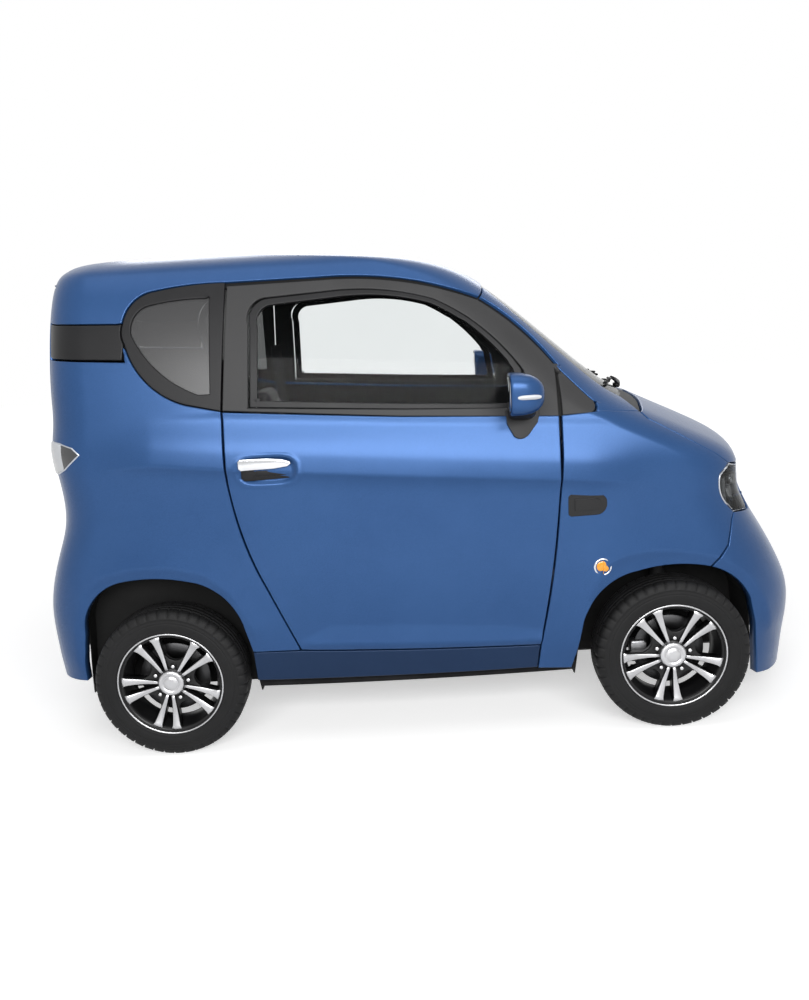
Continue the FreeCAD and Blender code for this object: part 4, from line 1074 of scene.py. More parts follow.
def rimMesh():
    # materials: 0 black, 1 machined silver, 2 nut chrome, 3 disc
    lip = wheel["lipHalf"]
    barrel = turnedMesh([(0.1655, -0.052), (0.170, -0.0585), (0.1755, -0.0612), (0.1772, -0.0628), (0.1768, -0.0645),
                         (0.1745, -0.0650), (0.1718, -0.0640), (0.1690, -0.0600), (0.1640, -0.0570), (0.1600, -0.0545),
                         (0.1580, -0.040), (0.1470, -0.020), (0.1450, 0.030), (0.1560, 0.048), (0.1600, lip - 0.004),
                         (0.1740, lip), (0.1768, lip - 0.0015), (0.1768, lip - 0.006), (0.1655, 0.052),
                         (0.1655, -0.052)], 96)
    for face in barrel.faces:
        spot = face.calc_center_median()
        reach = math.hypot(spot.x, spot.z)
        face.material_index = 1 if spot.y < -0.0600 and reach > 0.1722 else 0
    parts = [barrel]
    apart = 360 / wheel["pairs"]
    for turn in range(wheel["pairs"]):
        for sign in (-1, 1):
            parts.append(moved(spokePlate(sign, 1), turn=(apart * turn, "Y")))
        # the black web between two pairs carries a nut in a round seat
        middle = math.radians(apart * (turn + 0.5))
        span = math.radians(apart / 2 - wheel["lean"] - 1)
        edge = []
        for k in range(13):
            angle = middle - span + 2 * span * k / 12
            reach = wheel["webRadius"] + wheel["webBow"] * (abs(k - 6) / 6) ** 2.6
            edge.append((reach * math.sin(angle), reach * math.cos(angle)))
        inner = [(0.040 * math.sin(middle + span * s), 0.040 * math.cos(middle + span * s))
                 for s in (1, 0.5, 0, -0.5, -1)]
        parts.append(plateFrom(edge + inner, -0.043, -0.022, 0.002))
        spot = (wheel["nutCircle"] * math.sin(middle), 0, wheel["nutCircle"] * math.cos(middle))
        parts.append(moved(turnedMesh([(0.0085, -0.0425), (0.0105, -0.0425), (0.0115, -0.0445), (0.0105, -0.0455),
                                       (0.0088, -0.0450), (0.0085, -0.0425)], 20), spot))
        nut = turnedMesh([(0, -0.0535), (0.0052, -0.0530), (0.0075, -0.0505), (0.0075, -0.0420), (0, -0.0420)], 6, 2)
        parts.append(moved(nut, spot))
    hub = turnedMesh([(0.018, 0.028), (0.047, 0.028), (0.047, -0.014), (0.052, -0.024), (0.050, -0.046),
                      (0.046, -0.050), (0.018, -0.050), (0.018, 0.028)], 48)
    cap = turnedMesh([(0.0, -0.0600), (0.010, -0.0600), (0.0225, -0.0595), (0.0235, -0.0580), (0.0265, -0.0578),
                      (0.0275, -0.0598), (0.0370, -0.0588), (0.0415, -0.0565), (0.0430, -0.0530), (0.0430, -0.0490),
                      (0, -0.0490)], 64, 1)
    disc = turnedMesh([(0.049, 0.0085), (0.117, 0.0085), (0.118, 0.0095), (0.118, 0.0185), (0.117, 0.0195),
                       (0.049, 0.0195), (0.049, 0.0085)], 72, 3)
    return merged(*parts, hub, cap, disc)


def knuckleMesh():
    # upright, caliper and its bridge behind the rim, built beside the wheel centre
    offset = wheel["y"] - wheel["kingpin"]
    post = block((0.044, 0.028, 0.184), (0, offset, 0), 0.006, 0)
    spindle = turnedMesh([(0, 0.020), (0.0175, 0.020), (0.0175, -0.022), (0, -0.022)], 32, 0)
    caliper = block((0.056, 0.038, 0.076), (-0.102, 0.016, 0), 0.010, 1)
    slotOut = block((0.052, 0.004, 0.060), (-0.102, -0.0055, 0), 0.0015, 1)
    bridge = block((0.088, 0.016, 0.064), (-0.066, offset - 0.004, 0), 0.004, 0)
    bolts = [moved(turnedMesh([(0, 0.034), (0.006, 0.034), (0.006, 0.041), (0, 0.041)], 6, 1), (-0.102, 0, z))
             for z in (-0.022, 0.022)]
    steerArm = block((0.100, 0.018, 0.014), (-0.070, offset - 0.004, -0.071), 0.003, 0)
    return merged(post, spindle, caliper, slotOut, bridge, steerArm, *bolts)


tyreRubber = moulded("tyreRubber", (0.0070, 0.0070, 0.0074), 0.62, 700, 0.00012, 0.35, specular=0.22)
wheelBlack = moulded("wheelBlack", (0.0060, 0.0060, 0.0064), 0.34, 900, 0.00003, 0.25, specular=0.3)
wheelSilver = metalled("wheelSilver", (0.50, 0.50, 0.51), 0.30, 900, 0.00002)
nutChrome = metalled("nutChrome", (0.62, 0.62, 0.63), 0.20)
for end, ahead in (("front", 1), ("rear", -1)):
    for side, sign in (("right", 1), ("left", -1)):
        place = (ahead * wheel["x"], -wheel["y"] * sign, wheel["radius"])
        for label, maker, materials in (("tyre", tyreMesh, [tyreRubber]),
                                        ("rim", rimMesh, [wheelBlack, wheelSilver, nutChrome, discMetal])):
            bm = moved(maker(), turn=(wheel["turns"][end], "Y"))
            if sign < 0:
                turnOver(bm)
            moved(bm, place)
            finishMesh(f"{label}Looks_{end}_{side}", bm, materials, f"wheel_{end}_{side}", [f"{label}_{end}_{side}"])
pairOf("knuckleLooks", "knuckle_{side}", moved(knuckleMesh(), (wheel["x"], -wheel["y"], wheel["radius"])),
       [chassisBlack, castMetal], ["knuckle_{side}"])

print("building the lamps and trim")
lampSilver = metalled("lampSilver", (0.50, 0.52, 0.56), 0.30, 700, 0.00001)
lampWhite = moulded("lampWhite", (0.62, 0.64, 0.67), 0.22, 300, 0.00003, 0.05, coat=0.4)
lampDark = moulded("lampDark", (0.030, 0.031, 0.034), 0.16, 500, 0.00002, 0.15, coat=0.5)
lampAmber = moulded("lampAmber", (0.88, 0.36, 0.015), 0.16, 240, 0.00005, 0.12, coat=0.3)
lampRed = moulded("lampRed", (0.30, 0.008, 0.008), 0.16, 240, 0.00004, 0.12, coat=0.6)
mirrorGlass = metalled("mirrorGlass", (0.55, 0.57, 0.60), 0.04, 200, 0.000001)
plateGrey = moulded("plateGrey", (0.30, 0.30, 0.31), 0.45, 900, 0.00002, 0.04)
lensGlass = paneGlass("lensGlass", (0.02, 0.02, 0.02), 0.02)

lampOpening = [along("lampRim"), ("front", [(-0.470, 0.852), (-0.305, 0.846), (-0.330, 0.835), (-0.350, 0.720),
               (-0.45, 0.690)]), ("side", [(1.052, 0.706)])]
lampHole = within(lampOpening, 0.012)
headlamp = [shellPanel([lampOpening, lampHole], wall=0.020, seam=0.004, inset=0.002, cell=0.02),
            patch(lampHole, 1, 0.004, 0.040, 0.02)]
lampAt, lampOut = skinSpot("front", -0.445, 0.772)
for offset, radius, material in (((0.020, -0.020), 0.040, 2), ((-0.012, 0.030), 0.022, 0)):
    spot = lampAt - lampOut * 0.034 + Vector((0, offset[0], offset[1]))
    headlamp.append(aimed(turnedMesh([(0, 0.012), (radius * 0.5, 0.008), (radius * 0.8, -0.004),
                                      (radius * 0.86, -0.014), (radius, -0.016), (radius, 0.018), (0, 0.018)], 40,
                                      material), spot, lampOut))
    headlamp.append(aimed(turnedMesh([(0, -0.014), (radius * 0.4, -0.012), (radius * 0.72, -0.003),
                                     (radius * 0.72, 0.010), (0, 0.012)], 40, 3), spot, lampOut))
barSpot, barOut = skinSpot("side", 1.034, 0.772)
headlamp.append(aimed(block((0.014, 0.014, 0.098), (0, 0, 0), 0.005, 3), barSpot - barOut * 0.016, barOut))
finishMesh("headlampLooks", bothSides(merged(*headlamp)), [lampSilver, glossBlack, chrome, lampWhite], "car_body",
           ["headlamps"])
makePanel("headlampLens", "car_body", [lampHole], [lensGlass, lensGlass], inset=0.004, wall=0.003, seam=-0.006,
          cell=0.02)

tailOutline = [("rear", [(-0.512, 0.958), (-0.512, 1.070)]), ("side", [(-1.120, 1.068), (-1.069, 1.054),
               (-1.043, 1.030), (-1.068, 1.010), (-1.106, 0.980), (-1.141, 0.962)])]
tailRim = shellPanel([tailOutline], wall=0.010, seam=0.0005, inset=-0.003, cell=0.010)
tailInner = within(tailOutline, 0.004)
glass = patch(tailInner, 2, 0.006, -0.0055, 0.008)
for face in glass.faces:
    face.material_index = 1 if face.calc_center_median().x < -1.112 else 2
finishMesh("tailLampLooks", bothSides(merged(tailRim, glass)), [lampSilver, lampWhite, lampDark], "car_body",
           ["tail_lamps"])

lampSpot, lampNormal = skinSpot("side", 0.603, 0.573)
ridge = block((0.0016, 0.003, 0.044), (0, -0.0125, 0), 0.0006, 1)
ring = turnedMesh([(0.0235, 0.006), (0.0235, -0.0085), (0.0250, -0.0105), (0.0285, -0.0095), (0.0310, -0.0050),
                   (0.0315, 0.006), (0.0235, 0.006)], 48, 0)
lens = turnedMesh([(0, -0.0125), (0.010, -0.0120), (0.018, -0.0103), (0.0225, -0.0080), (0.0238, -0.0060),
                   (0.0238, 0.004), (0, 0.004)], 48, 1)
finishMesh("sideLampLooks", bothSides(merged(*(aimed(part, lampSpot, lampNormal) for part in (ring, lens, ridge)))),
           [chrome, lampAmber], "car_body", ["side_lamps"])

coverOutline = closed("side", (0.497, 0.752), (0.505, 0.744), (0.585, 0.744), (0.612, 0.753, "via"), (0.623, 0.781),
                      (0.612, 0.810, "via"), (0.585, 0.819), (0.505, 0.819), (0.497, 0.811))
coverPanel = closed("side", (0.518, 0.762), (0.582, 0.762), (0.598, 0.768, "via"), (0.604, 0.781),
                    (0.598, 0.795, "via"), (0.582, 0.801), (0.518, 0.801))
cover = merged(patch(coverOutline, 0, 0.010, -0.0035, 0.012), patch(coverPanel, 0, 0.006, -0.0068, 0.012))
finishMesh("chargeCover", cover, [glossBlack], "car_body", ["charge_port_cover"])

gripY = skinY(-0.45, 0.97) - 0.0115
grip = plateFrom([(-0.533, 0.964), (-0.533, 0.987), (-0.526, 0.994), (-0.440, 0.993), (-0.395, 0.988), (-0.370, 0.980),
                  (-0.366, 0.973), (-0.378, 0.964), (-0.420, 0.959), (-0.526, 0.957)], gripY - 0.0050, gripY + 0.0050,
                  0.0024, 0)
cup = plateFrom([(-0.528, 0.928), (-0.528, 0.958), (-0.380, 0.960), (-0.358, 0.952), (-0.358, 0.936), (-0.372, 0.925),
                (-0.516, 0.921)], gripY + 0.0105, gripY + 0.0150, 0.0015, 1)
# a black sheet in the opening behind the grip: painted shade
shadeSlot = plateFrom([(-0.486, 0.936), (-0.480, 0.953), (-0.386, 0.953), (-0.378, 0.944), (-0.386, 0.935)], gripY + 0.0085,
                 gripY + 0.013, 0.001, 1)
posts = [block((0.016, 0.016, 0.020), (x, gripY + 0.008, 0.974), 0.003, 1) for x in (-0.515, -0.390)]
pairOf("handleLooks", "door_{side}", merged(grip, cup, shadeSlot, *posts), [chrome, trimBlack], ["door_handle_{side}"])

mirror = {"x": (0.315, 0.419), "y": -0.7400, "z": 1.153, "halfY": 0.0590, "halfZ": 0.0640}
across, up = (0, 1, 0), (0, 0, 1)


def mirrorRing(x, wide, drop=0.0):
    return roundRing((x, mirror["y"], mirror["z"] - drop), across, up, mirror["halfY"] * wide, mirror["halfZ"] * wide,
                     3.2, 40)


shares = ((0.0, 0.93), (0.03, 0.985), (0.12, 1.0), (0.35, 0.985), (0.60, 0.90), (0.80, 0.74), (0.92, 0.54),
          (0.98, 0.34), (1.0, 0.16))
rings = []
for share, wide in shares:
    x = mirror["x"][0] + (mirror["x"][1] - mirror["x"][0]) * share
    rings.append(mirrorRing(x, wide, 0.004 * share))
shell = lofted(rings, 0, True)
rimBand = lofted([mirrorRing(x, wide) for x, wide in ((0.3142, 0.89), (0.3142, 0.80), (0.3175, 0.78))], 1, False)
pane = lofted([mirrorRing(x, 0.79) for x in (0.3140, 0.3170)], 2, True)
strip = lofted([roundRing((0.368, y, 1.146), (1, 0, 0), up, wide, 0.0068, 3.0, 24)
                for y, wide in ((-0.7990, 0.034), (-0.7970, 0.036), (-0.7850, 0.036))], 3, True)
arm = lofted([roundRing((x, y, z), (1, 0, 0), up, wide, tall, 3.0, 24) for x, y, z, wide, tall in (
    (0.362, -0.612, 1.082, 0.046, 0.024), (0.362, -0.640, 1.084, 0.043, 0.022), (0.364, -0.672, 1.086, 0.036, 0.018),
    (0.366, -0.700, 1.092, 0.032, 0.016), (0.368, -0.722, 1.102, 0.028, 0.014))], 1, True)
footOutline = closed("side", (0.312, 1.090), (0.314, 1.050), (0.334, 1.012), (0.356, 1.003, "via"), (0.380, 1.012),
                     (0.412, 1.050), (0.420, 1.084), (0.366, 1.088))
foot = patch(footOutline, 1, 0.008, -0.0100, 0.012)
pairOf("mirrorLooks", "door_{side}", merged(shell, rimBand, pane, strip, arm, foot),
       [paint, trimBlack, mirrorGlass, lampWhite], ["door_mirror_{side}"])

# Wipers low on the windscreen: pivot, tip and tail of the blade, seen from the front (y, z).
wipers = [((0.045, 1.083), (-0.395, 1.135), (0.140, 1.098)), ((0.430, 1.080), (0.030, 1.128), (0.420, 1.112))]


def onScreen(y, z, lift):
    spot, out = skinSpot("front", -abs(y), z)
    spot = spot + out * lift
    return Vector((spot.x, y, spot.z))


for number, (pivot, tip, tail) in enumerate(wipers):
    blade, holder = ([onScreen(tip[0] + (tail[0] - tip[0]) * k / 10, tip[1] + (tail[1] - tip[1]) * k / 10, lift)
                      for k in steps]
                     for steps, lift in ((range(11), 0.004), (range(2, 9), 0.013)))
    middle = onScreen((tip[0] + tail[0]) / 2, (tip[1] + tail[1]) / 2, 0.018)
    base = onScreen(*pivot, 0.016)
    arm = rodMesh([base, base.lerp(middle, 0.35) + Vector((0, 0, 0.003)), middle], [0.010, 0.0075, 0.0055], 10, 0)
    boss = turnedMesh([(0, -0.010), (0.010, -0.010), (0.014, -0.004), (0.014, 0.008), (0, 0.008)], 24, 0, "Z")
    moved(boss, base - Vector((0.004, 0, 0.010)))
    finishMesh(f"wiper{number}", merged(rodMesh(blade, 0.0045, 8, 1), rodMesh(holder, 0.0040, 8, 0), arm, boss),
               [trimBlack, rubberBlack], "car_body")

print("building the cabin")
seatCloth = Finish("seatCloth", specular=0.2, sheen=0.25)
waves = [seatCloth.node("ShaderNodeTexWave", {"wave_type": "BANDS", "bands_direction": direction},
                        {"Vector": seatCloth.spot, "Scale": 130, "Distortion": 1.5}, 1)
         for direction in ("X", "Z", "Y")]
weave = (waves[0] + waves[1] + waves[2]) / 3
worn = seatCloth.noise(30, 4)
seatCloth.set(colour=seatCloth.ramp(weave * 0.6 + worn * 0.4, (0.3, (0.018, 0.018, 0.020)),
                                    (0.7, (0.050, 0.050, 0.054))),
              rough=(worn * 0.1 + 0.82).clamp(), normal=seatCloth.bump(weave, 0.0004, 0.8))
seatFabric = seatCloth.material
seat = {
    "y": 0.262, "wide": 0.424, "long": 0.424, "tall": 0.106, "backX": -0.444, "backZ": 0.302, "backTall": 0.590,
    "lean": 14, "cap": 0.008, "voxel": 0.0065, "pressure": 4, "quality": 4, "frames": 20, "seam": 0.0045,
    "channel": 0.006, "fill": 0.85, "hingeY": 0.219,
    "fewFaces": 20000,      # a piece with fewer faces is subdivided once more
}


def inflated(bm, name):
    # swells a closed form as filled cloth, within a cap
    mesh = bpy.data.meshes.new(name)
    bm.to_mesh(mesh)
    bm.free()
    holder = bpy.data.objects.new(name, mesh)
    bpy.context.collection.objects.link(holder)
    even = holder.modifiers.new("even", "REMESH")
    even.mode = "VOXEL"
    even.voxel_size = seat["voxel"]
    remade = bpy.data.meshes.new_from_object(holder.evaluated_get(bpy.context.evaluated_depsgraph_get()))
    holder.modifiers.clear()
    holder.data = remade
    start = np.empty(len(remade.vertices) * 3)
    remade.vertices.foreach_get("co", start)
    end = start
    cloth = holder.modifiers.new("cloth", "CLOTH")
    cloth.settings.use_pressure = True
    cloth.settings.uniform_pressure_force = seat["pressure"]
    cloth.settings.effector_weights.gravity = 0
    cloth.settings.quality = seat["quality"]
    cloth.point_cache.frame_start = 1
    cloth.point_cache.frame_end = seat["frames"]
    for number in range(1, seat["frames"] + 1):
        bpy.context.scene.frame_set(number)
    puffed = holder.evaluated_get(bpy.context.evaluated_depsgraph_get()).to_mesh()
    end = np.empty(len(puffed.vertices) * 3)
    puffed.vertices.foreach_get("co", end)
    bpy.context.scene.frame_set(1)
    holder.modifiers.clear()
    start, end = start.reshape(-1, 3), end.reshape(-1, 3)
    step = end - start
    length = np.linalg.norm(step, axis=1, keepdims=True)
    end = start + step * np.minimum(1, seat["cap"] / np.maximum(length, 1e-9))
    swollen = bmesh.new()
    swollen.from_mesh(remade)
    for v, spot in zip(swollen.verts, end):
        v.co = spot
    bpy.data.objects.remove(holder)
    return swollen


def sewn(bm, seams):
    # presses channels along planes (axis, place, from, to on another axis)
    bm.normal_update()
    for v in bm.verts:
        sink = 0
        for axis, place, other, low, high in seams:
            if low < v.co[other] < high:
                sink = max(sink, math.exp(-((v.co[axis] - place) / seat["channel"]) ** 2))
        v.co -= v.normal * seat["seam"] * sink
    return bm


def padBlock(size, bevel, pinch):
    # a block with round edges whose sides pull in between the corners
    bm = block(size, (0, 0, 0), bevel, 0, segments=5)
    bmesh.ops.subdivide_edges(bm, edges=[e for e in bm.edges if e.calc_length() > 0.08], cuts=7, use_grid_fill=True)
    for v in bm.verts:
        u, w = abs(v.co.x) / (size[0] / 2), abs(v.co.y) / (size[1] / 2)
        v.co.z *= 1 + pinch * (1 - u ** 2) * (1 - w ** 2) - 0.5 * pinch
    return bm


sideSeams = [(1, -0.125, 0, -0.30), (1, 0.125, 0, -0.30)]
cushionForm = sewn(inflated(padBlock((seat["long"], seat["wide"], seat["tall"]), 0.026, 0.10), "cushionStart"),
                   [(*s, 0.16) for s in sideSeams] + [(0, x, 1, -0.125, 0.125) for x in (0.155, 0.02, -0.10)])
backForm = sewn(inflated(padBlock((seat["backTall"], seat["wide"], 0.096), 0.026, 0.10), "backStart"),
                [(*s, 0.30) for s in sideSeams] + [(0, x, 1, -0.125, 0.125) for x in (0.18, 0.04, -0.10)])
headForm = sewn(inflated(padBlock((0.190, 0.250, 0.080), 0.024, 0.12), "headStart"), [(0, 0.05, 1, -0.2, 0.2)])
lean = math.radians(seat["lean"])


def onBack(up, out, aside=0.0):
    # a place a length up the leaning seat back and a length in front of it
    return (seat["backX"] + out * math.cos(lean) - up * math.sin(lean), aside - seat["y"],
            seat["backZ"] + up * math.cos(lean) + out * math.sin(lean))


moved(cushionForm, (-0.110, -seat["y"], 0.3692))
for form, up, out in ((backForm, 0.305, 0.055), (headForm, 0.745, 0.060)):
    moved(form, turn=(-90, "Y"))
    moved(form, onBack(up, out), (-seat["lean"], "Y"))
for name, form, nodes in (("seatCushions", cushionForm, ["seat_cushions"]), ("seatBacks", backForm, ["seat_backs"]),
                          ("headRests", headForm, [])):
    pad = finishMesh(name, bothSides(form), [seatFabric], "car_body", nodes)
    soft = pad.modifiers.new("soft", "SUBSURF")
    soft.levels = soft.render_levels = 1 if len(pad.data.polygons) < seat["fewFaces"] else 0
rests = [rodMesh([onBack(up, 0.055, aside) for up in (0.600, 0.640, 0.680)], 0.006, 12, 0) for aside in (-0.06, 0.06)]
runners = [block((0.420, 0.030, 0.016), (-0.120, -seat["y"] + aside, 0.3005), 0.003, 1) for aside in (-0.16, 0.16)]
hinges = [block((0.050, 0.014, 0.090), (-0.372, -seat["y"] + aside, 0.372), 0.006, 1, (-seat["lean"], "Y"))
          for aside in (-seat["hingeY"], seat["hingeY"])]
recliner = block((0.110, 0.012, 0.022), (-0.300, -seat["y"] - seat["hingeY"], 0.352), 0.004, 1)
finishMesh("seatFrames", bothSides(merged(*rests, *runners, *hinges, recliner)), [chrome, trimBlack], "car_body")

# dashboard: one moulding with a hood, screens, vents and a shelf
profile = [(0.484, 0.802), (0.474, 0.870), (0.472, 0.940), (0.484, 0.985), (0.506, 1.014), (0.530, 1.028),
           (0.580, 1.031), (0.638, 1.030), (0.638, 0.766), (0.600, 0.752), (0.560, 0.744), (0.520, 0.770)]
rows = []
for y in (-0.585, -0.575, -0.45, -0.15, -0.12, 0.12, 0.15, 0.45, 0.575, 0.585):
    row = []
    for x, z in profile:
        push = 0.012 if 0.13 < abs(y) < 0.46 and x < 0.49 and z > 0.85 else 0
        inner = min(max((x - 0.56) * 0.03, -0.004), 0.004) if abs(y) > 0.58 else 0
        row.append((x + push - inner, y, z))
    rows.append(row)
dash = lofted(rows, 0, True)


def hoodRing(x, z, wide, tall):
    # a leaning ring in front of the driver
    return roundRing((x, seat["y"], z), (0, 1, 0), (0.35, 0, 0.94), wide, tall, 3.0, 32)


hood = lofted([hoodRing(*row) for row in ((0.452, 0.998, 0.118, 0.036), (0.455, 0.998, 0.126, 0.041),
                                          (0.480, 1.000, 0.130, 0.042), (0.540, 1.000, 0.118, 0.034),
                                          (0.580, 1.000, 0.090, 0.026))], 0, True)
dial = lofted([hoodRing(x, 0.998, 0.106, 0.029) for x in (0.4505, 0.4540)], 1, True)
screen = block((0.014, 0.190, 0.115), (0.462, 0.0, 0.955), 0.006, 1)
screenRim = block((0.012, 0.206, 0.130), (0.468, 0.0, 0.955), 0.008, 0)
dashParts = [dash, hood, dial, screen, screenRim]
for y in (-0.500, -0.135, 0.135, 0.500):
    vent = turnedMesh([(0.030, 0.006), (0.030, -0.006), (0.034, -0.009), (0.039, -0.007), (0.040, 0.008),
                      (0.030, 0.006)], 36, 2, "X")
    dashParts.append(moved(vent, (0.474, y, 0.925 if abs(y) > 0.3 else 0.955)))
    if abs(y) > 0.3:
        dashParts += [block((0.004, 0.058, 0.003), (0.472, y, 0.925 + shift), 0.0008, 1)
                      for shift in (-0.018, -0.009, 0, 0.009, 0.018)]
dashParts += [block((0.010, 0.300, 0.110), (0.476, -0.300, 0.862), 0.005, 0),
              block((0.012, 0.090, 0.010), (0.469, -0.300, 0.905), 0.004, 2)]
knob = [(0, -0.010), (0.016, -0.010), (0.018, -0.006), (0.018, 0.006), (0, 0.006)]
dashParts += [moved(turnedMesh(knob, 32, 2, "X"), (0.476, y, 0.872)) for y in (-0.05, 0.0, 0.05)]
finishMesh("dashLooks", merged(*dashParts), [cabinPlastic, glossBlack, lampSilver], "car_body", ["dashboard"])

# steering wheel, made facing +X and leaned towards the driver
steer = {"place": (0.36, seat["y"], 0.85), "lean": 24, "radius": 0.175, "tube": 0.0135, "steps": 72}
turns = [2 * math.pi * k / steer["steps"] for k in range(steer["steps"])]
circle = [(0, steer["radius"] * math.cos(a), steer["radius"] * math.sin(a)) for a in turns]
grips = [steer["tube"] * (1 + 0.10 * math.cos(2 * a) ** 8) * 0.93 for a in turns]
steering = [rodMesh(circle, grips, 20, 0, True)]
for angle, wide in ((10, 0.036), (170, 0.036), (270, 0.044)):
    a = math.radians(angle)
    outward, aside = Vector((0, math.cos(a), math.sin(a))), Vector((0, -math.sin(a), math.cos(a)))
    steering.append(lofted([roundRing(outward * reach + Vector((drop, 0, 0)), (1, 0, 0), aside, 0.0055, half, 3.0, 20)
                            for reach, drop, half in ((0.030, 0.022, wide * 0.7), (0.080, 0.014, wide * 0.5),
                                                      (0.130, 0.006, wide * 0.36), (0.168, 0.0, wide * 0.42))],
                           0, True))
steering.append(lofted([roundRing((x, 0, 0), (0, 1, 0), (0, 0, 1), wide, wide * 0.88, 2.8, 36) for x, wide in (
    (-0.008, 0.030), (-0.005, 0.052), (0.002, 0.060), (0.020, 0.060), (0.030, 0.046), (0.036, 0.044))], 0, True))
steering.append(turnedMesh([(0, 0.036), (0.030, 0.036), (0.036, 0.046), (0.036, 0.068), (0, 0.068)], 32, 1, "X"))
finishMesh("steeringLooks", moved(merged(*steering), steer["place"], (steer["lean"], "Y")), [cabinPlastic, trimBlack],
           "steering_wheel", ["steering_wheel"])

# belts, mats, pedals and the middle tunnel
beltLine = [(-0.560, -0.560, 1.300), (-0.545, -0.520, 1.080), (-0.500, -0.505, 0.800), (-0.440, -0.500, 0.480),
            (-0.400, -0.498, 0.330)]
belts = lofted([roundRing(p, (1, 0.1, 0), (0.1, 1, 0), 0.022, 0.0012, 4.0, 12) for p in beltLine], 0, True)
finishMesh("seatBelts", bothSides(belts), [seatFabric], "car_body")
mats = block((0.300, 0.380, 0.008), (0.290, -0.250, 0.240), 0.003, 0)
pedals = [block((0.012, 0.055, 0.070), (0.585, y, 0.330), 0.004, 1) for y in (0.200, 0.300)]
arms = [rodMesh([(0.590, y, 0.355), (0.605, y, 0.470), (0.600, y, 0.560)], 0.007, 10, 1) for y in (0.200, 0.300)]
console = block((0.300, 0.110, 0.060), (0.060, 0, 0.345), 0.014, 1)
selector = moved(turnedMesh([(0, 0.034), (0.020, 0.032), (0.024, 0.024), (0.024, 0.0), (0.030, -0.004), (0, -0.004)],
                 36, 2, "Z"), (0.100, 0, 0.378))
finishMesh("cabinFloor", merged(bothSides(mats), *pedals, *arms, console, selector), [carpet, cabinPlastic, lampSilver],
           "car_body")

print("building the ends and the underside")
grilleRing = closed("front", (0, 0.300), (-0.360, 0.300), (-0.380, 0.280), (-0.380, 0.195), (-0.360, 0.175), (0, 0.175))
parts = [patch(grilleRing, 0, 0.004, 0.022, halves=True, seam=-0.01)]
for low in (0.196, 0.222, 0.248, 0.274):
    slat = closed("front", (0, low), (-0.378, low), (-0.378, low + 0.010), (0, low + 0.010))
    parts.append(patch(slat, 0, 0.014, 0.006, halves=True))
finishMesh("grilleSlats", merged(*parts), [trimBlack], "car_body", ["front_grille"])
plateFront = closed("front", (0, 0.318), (-0.400, 0.318), (-0.420, 0.335), (-0.420, 0.435), (-0.400, 0.452), (0, 0.452))
plateRear = closed("rear", (0, 0.435), (-0.255, 0.435), (-0.260, 0.440), (-0.260, 0.540), (-0.255, 0.545), (0, 0.545))
for name, outline, inset, material in (("blankPlateRear", plateRear, 0.0012, plateGrey),
                                       ("bumperBlock", plateFront, -0.0006, paint)):
    finishMesh(name, patch(outline, 0, 0.004, inset, halves=True), [material], "car_body")
reflectorOutline = closed("rear", (-0.330, 0.345), (-0.430, 0.345), (-0.430, 0.370), (-0.330, 0.370))
fogOutline = closed("rear", (-0.070, 0.300), (-0.120, 0.300), (-0.120, 0.330), (-0.070, 0.330))
redParts = [patch(outline, 0, 0.006, 0.0012, 0.012) for outline in (reflectorOutline, fogOutline)]
finishMesh("rearReflectors", bothSides(merged(*redParts)), [lampRed], "car_body")
gateStrip = closed("rear", (0, 1.098), (-0.140, 1.098), (-0.150, 1.108), (-0.140, 1.122), (0, 1.122))
brakeStrip = closed("rear", (0, 1.482), (-0.110, 1.480), (-0.110, 1.494), (0, 1.496))
gateParts = [patch(gateStrip, 0, 0.010, -0.006, 0.02, halves=True),
             patch(brakeStrip, 1, 0.006, -0.003, 0.02, halves=True)]
finishMesh("gateTrim", merged(*gateParts), [chrome, lampRed], "tailgate")

for node, material in (("floor_pan", carpet), ("front_arch_liners", rubberBlack), ("rear_arch_liners", rubberBlack),
                       ("front_suspension", chassisBlack), ("rear_axle", chassisBlack), ("drive_motor", castMetal),
                       ("battery_block", caseGrey), ("steering_column", cabinPlastic)):
    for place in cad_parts[node].material_slots:
        place.material = material

# camera and light
cameraView = {"place": (0.0284, -3.4801, 1.4284), "yaw": -0.0169409, "pitch": 0.2081827, "roll": 0.0629597,
              "lens": 32.87}
camera = bpy.data.cameras.new("photoView")
camera.lens = cameraView["lens"]
camera.sensor_width = 36
cameraObject = bpy.data.objects.new("photoView", camera)
bpy.context.collection.objects.link(cameraObject)
cameraTurn = (Matrix.Rotation(-cameraView["yaw"], 4, "Z") @ Matrix.Rotation(math.pi / 2 - cameraView["pitch"], 4, "X")
              @ Matrix.Rotation(-cameraView["roll"], 4, "Z"))
cameraObject.matrix_world = Matrix.Translation(Vector(cameraView["place"]) + frameShift) @ cameraTurn
bpy.context.scene.camera = cameraObject

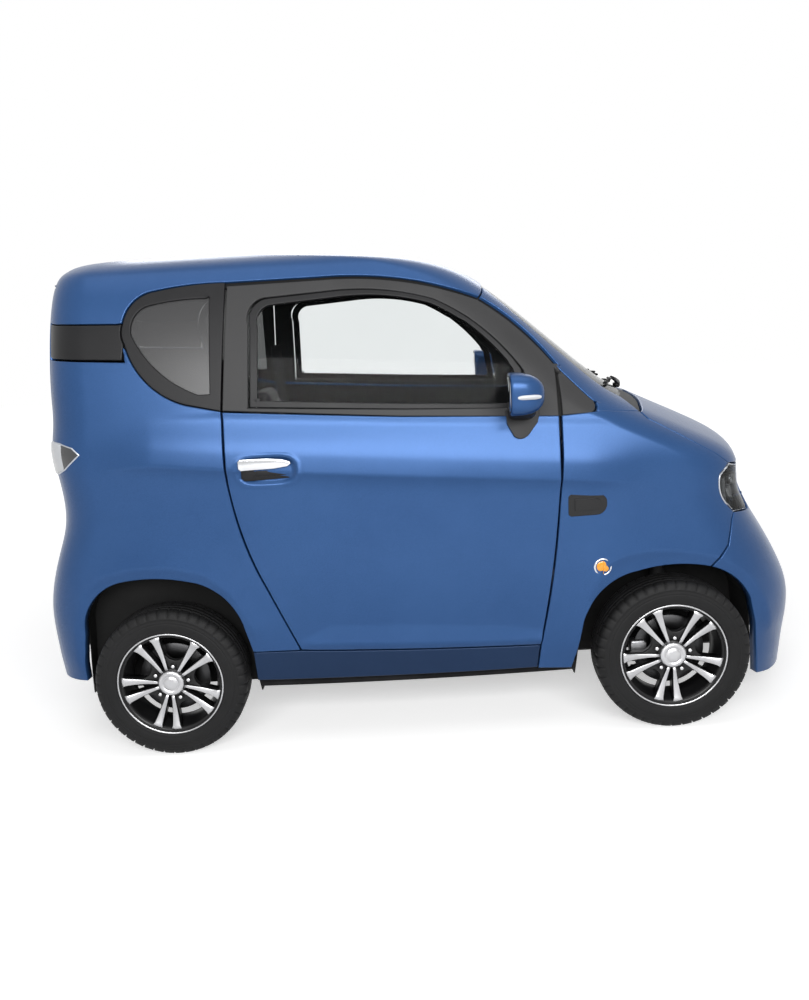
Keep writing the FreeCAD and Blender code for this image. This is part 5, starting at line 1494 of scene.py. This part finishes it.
studio = {
    "floor": 0.22, "seenFloor": 0.85, "glowNear": 0.50, "glowFar": 1.0, "surround": 0.14,
    # name, place, looks at, width, height, watts
    "lamps": [("topLamp", (0.0, -1.6, 4.3), (0, 0, 0.6), 5.0, 2.4, 36),
    ("sideLamp", (0.2, -5.0, 2.55), (0, 0, 0.8), 5.2, 1.5, 265),
              ("farLamp", (0.0, 4.6, 3.2), (0, 0, 0.8), 5.0, 1.5, 60)],
}


def buildStudio():
    bm = bmesh.new()
    bmesh.ops.create_grid(bm, x_segments=8, y_segments=8, size=14)
    floor = finishMesh("studioFloor", bm, [])
    look = Finish("floorWhite", rough=0.7, specular=0.2)
    level, near, far = studio["floor"], studio["glowNear"], studio["glowFar"]
    look.set(colour=look.ramp(look.noise(3, 3), (0.3, (level,) * 3), (0.7, (level * 1.02,) * 3)))
    reach = look.node("ShaderNodeVectorMath", {"operation": "LENGTH"}, {0: look.spot}, 1)
    glow = look.node("ShaderNodeEmission", {}, {"Color": look.ramp((reach * 0.125).clamp(), (0.16, (near,) * 3),
                                                (0.75, (far,) * 3)), "Strength": 1.0})
    pale = look.node("ShaderNodeBsdfDiffuse", {}, {"Color": (studio["seenFloor"],) * 3})
    backdrop = look.node("ShaderNodeAddShader", {}, {0: glow, 1: pale})
    plain = Value(look, look.shader.outputs[0])
    look.show(look.node("ShaderNodeMixShader", {}, {0: look.seen(), 1: plain, 2: backdrop}))
    floor.data.materials.append(look.material)
    world = bpy.data.worlds.new("studioWorld")
    world.use_nodes = True
    bpy.context.scene.world = world
    sky = NodeTree(world.node_tree)
    dim, bright = (sky.node("ShaderNodeBackground", {}, {"Color": (1, 1, 1), "Strength": strength})
                   for strength in (studio["surround"], 1.0))
    sky.show(sky.node("ShaderNodeMixShader", {}, {0: sky.seen(), 1: dim, 2: bright}), "World Output")
    for name, place, target, width, height, power in studio["lamps"]:
        lamp = bpy.data.lights.new(name, "AREA")
        lamp.shape = "RECTANGLE"
        lamp.size, lamp.size_y = width, height
        lamp.energy = power
        holder = bpy.data.objects.new(name, lamp)
        holder.location = place
        holder.rotation_euler = (Vector(target) - Vector(place)).to_track_quat("-Z", "Y").to_euler()
        bpy.context.collection.objects.link(holder)


buildStudio()
bpy.context.scene.view_settings.view_transform = "Standard"
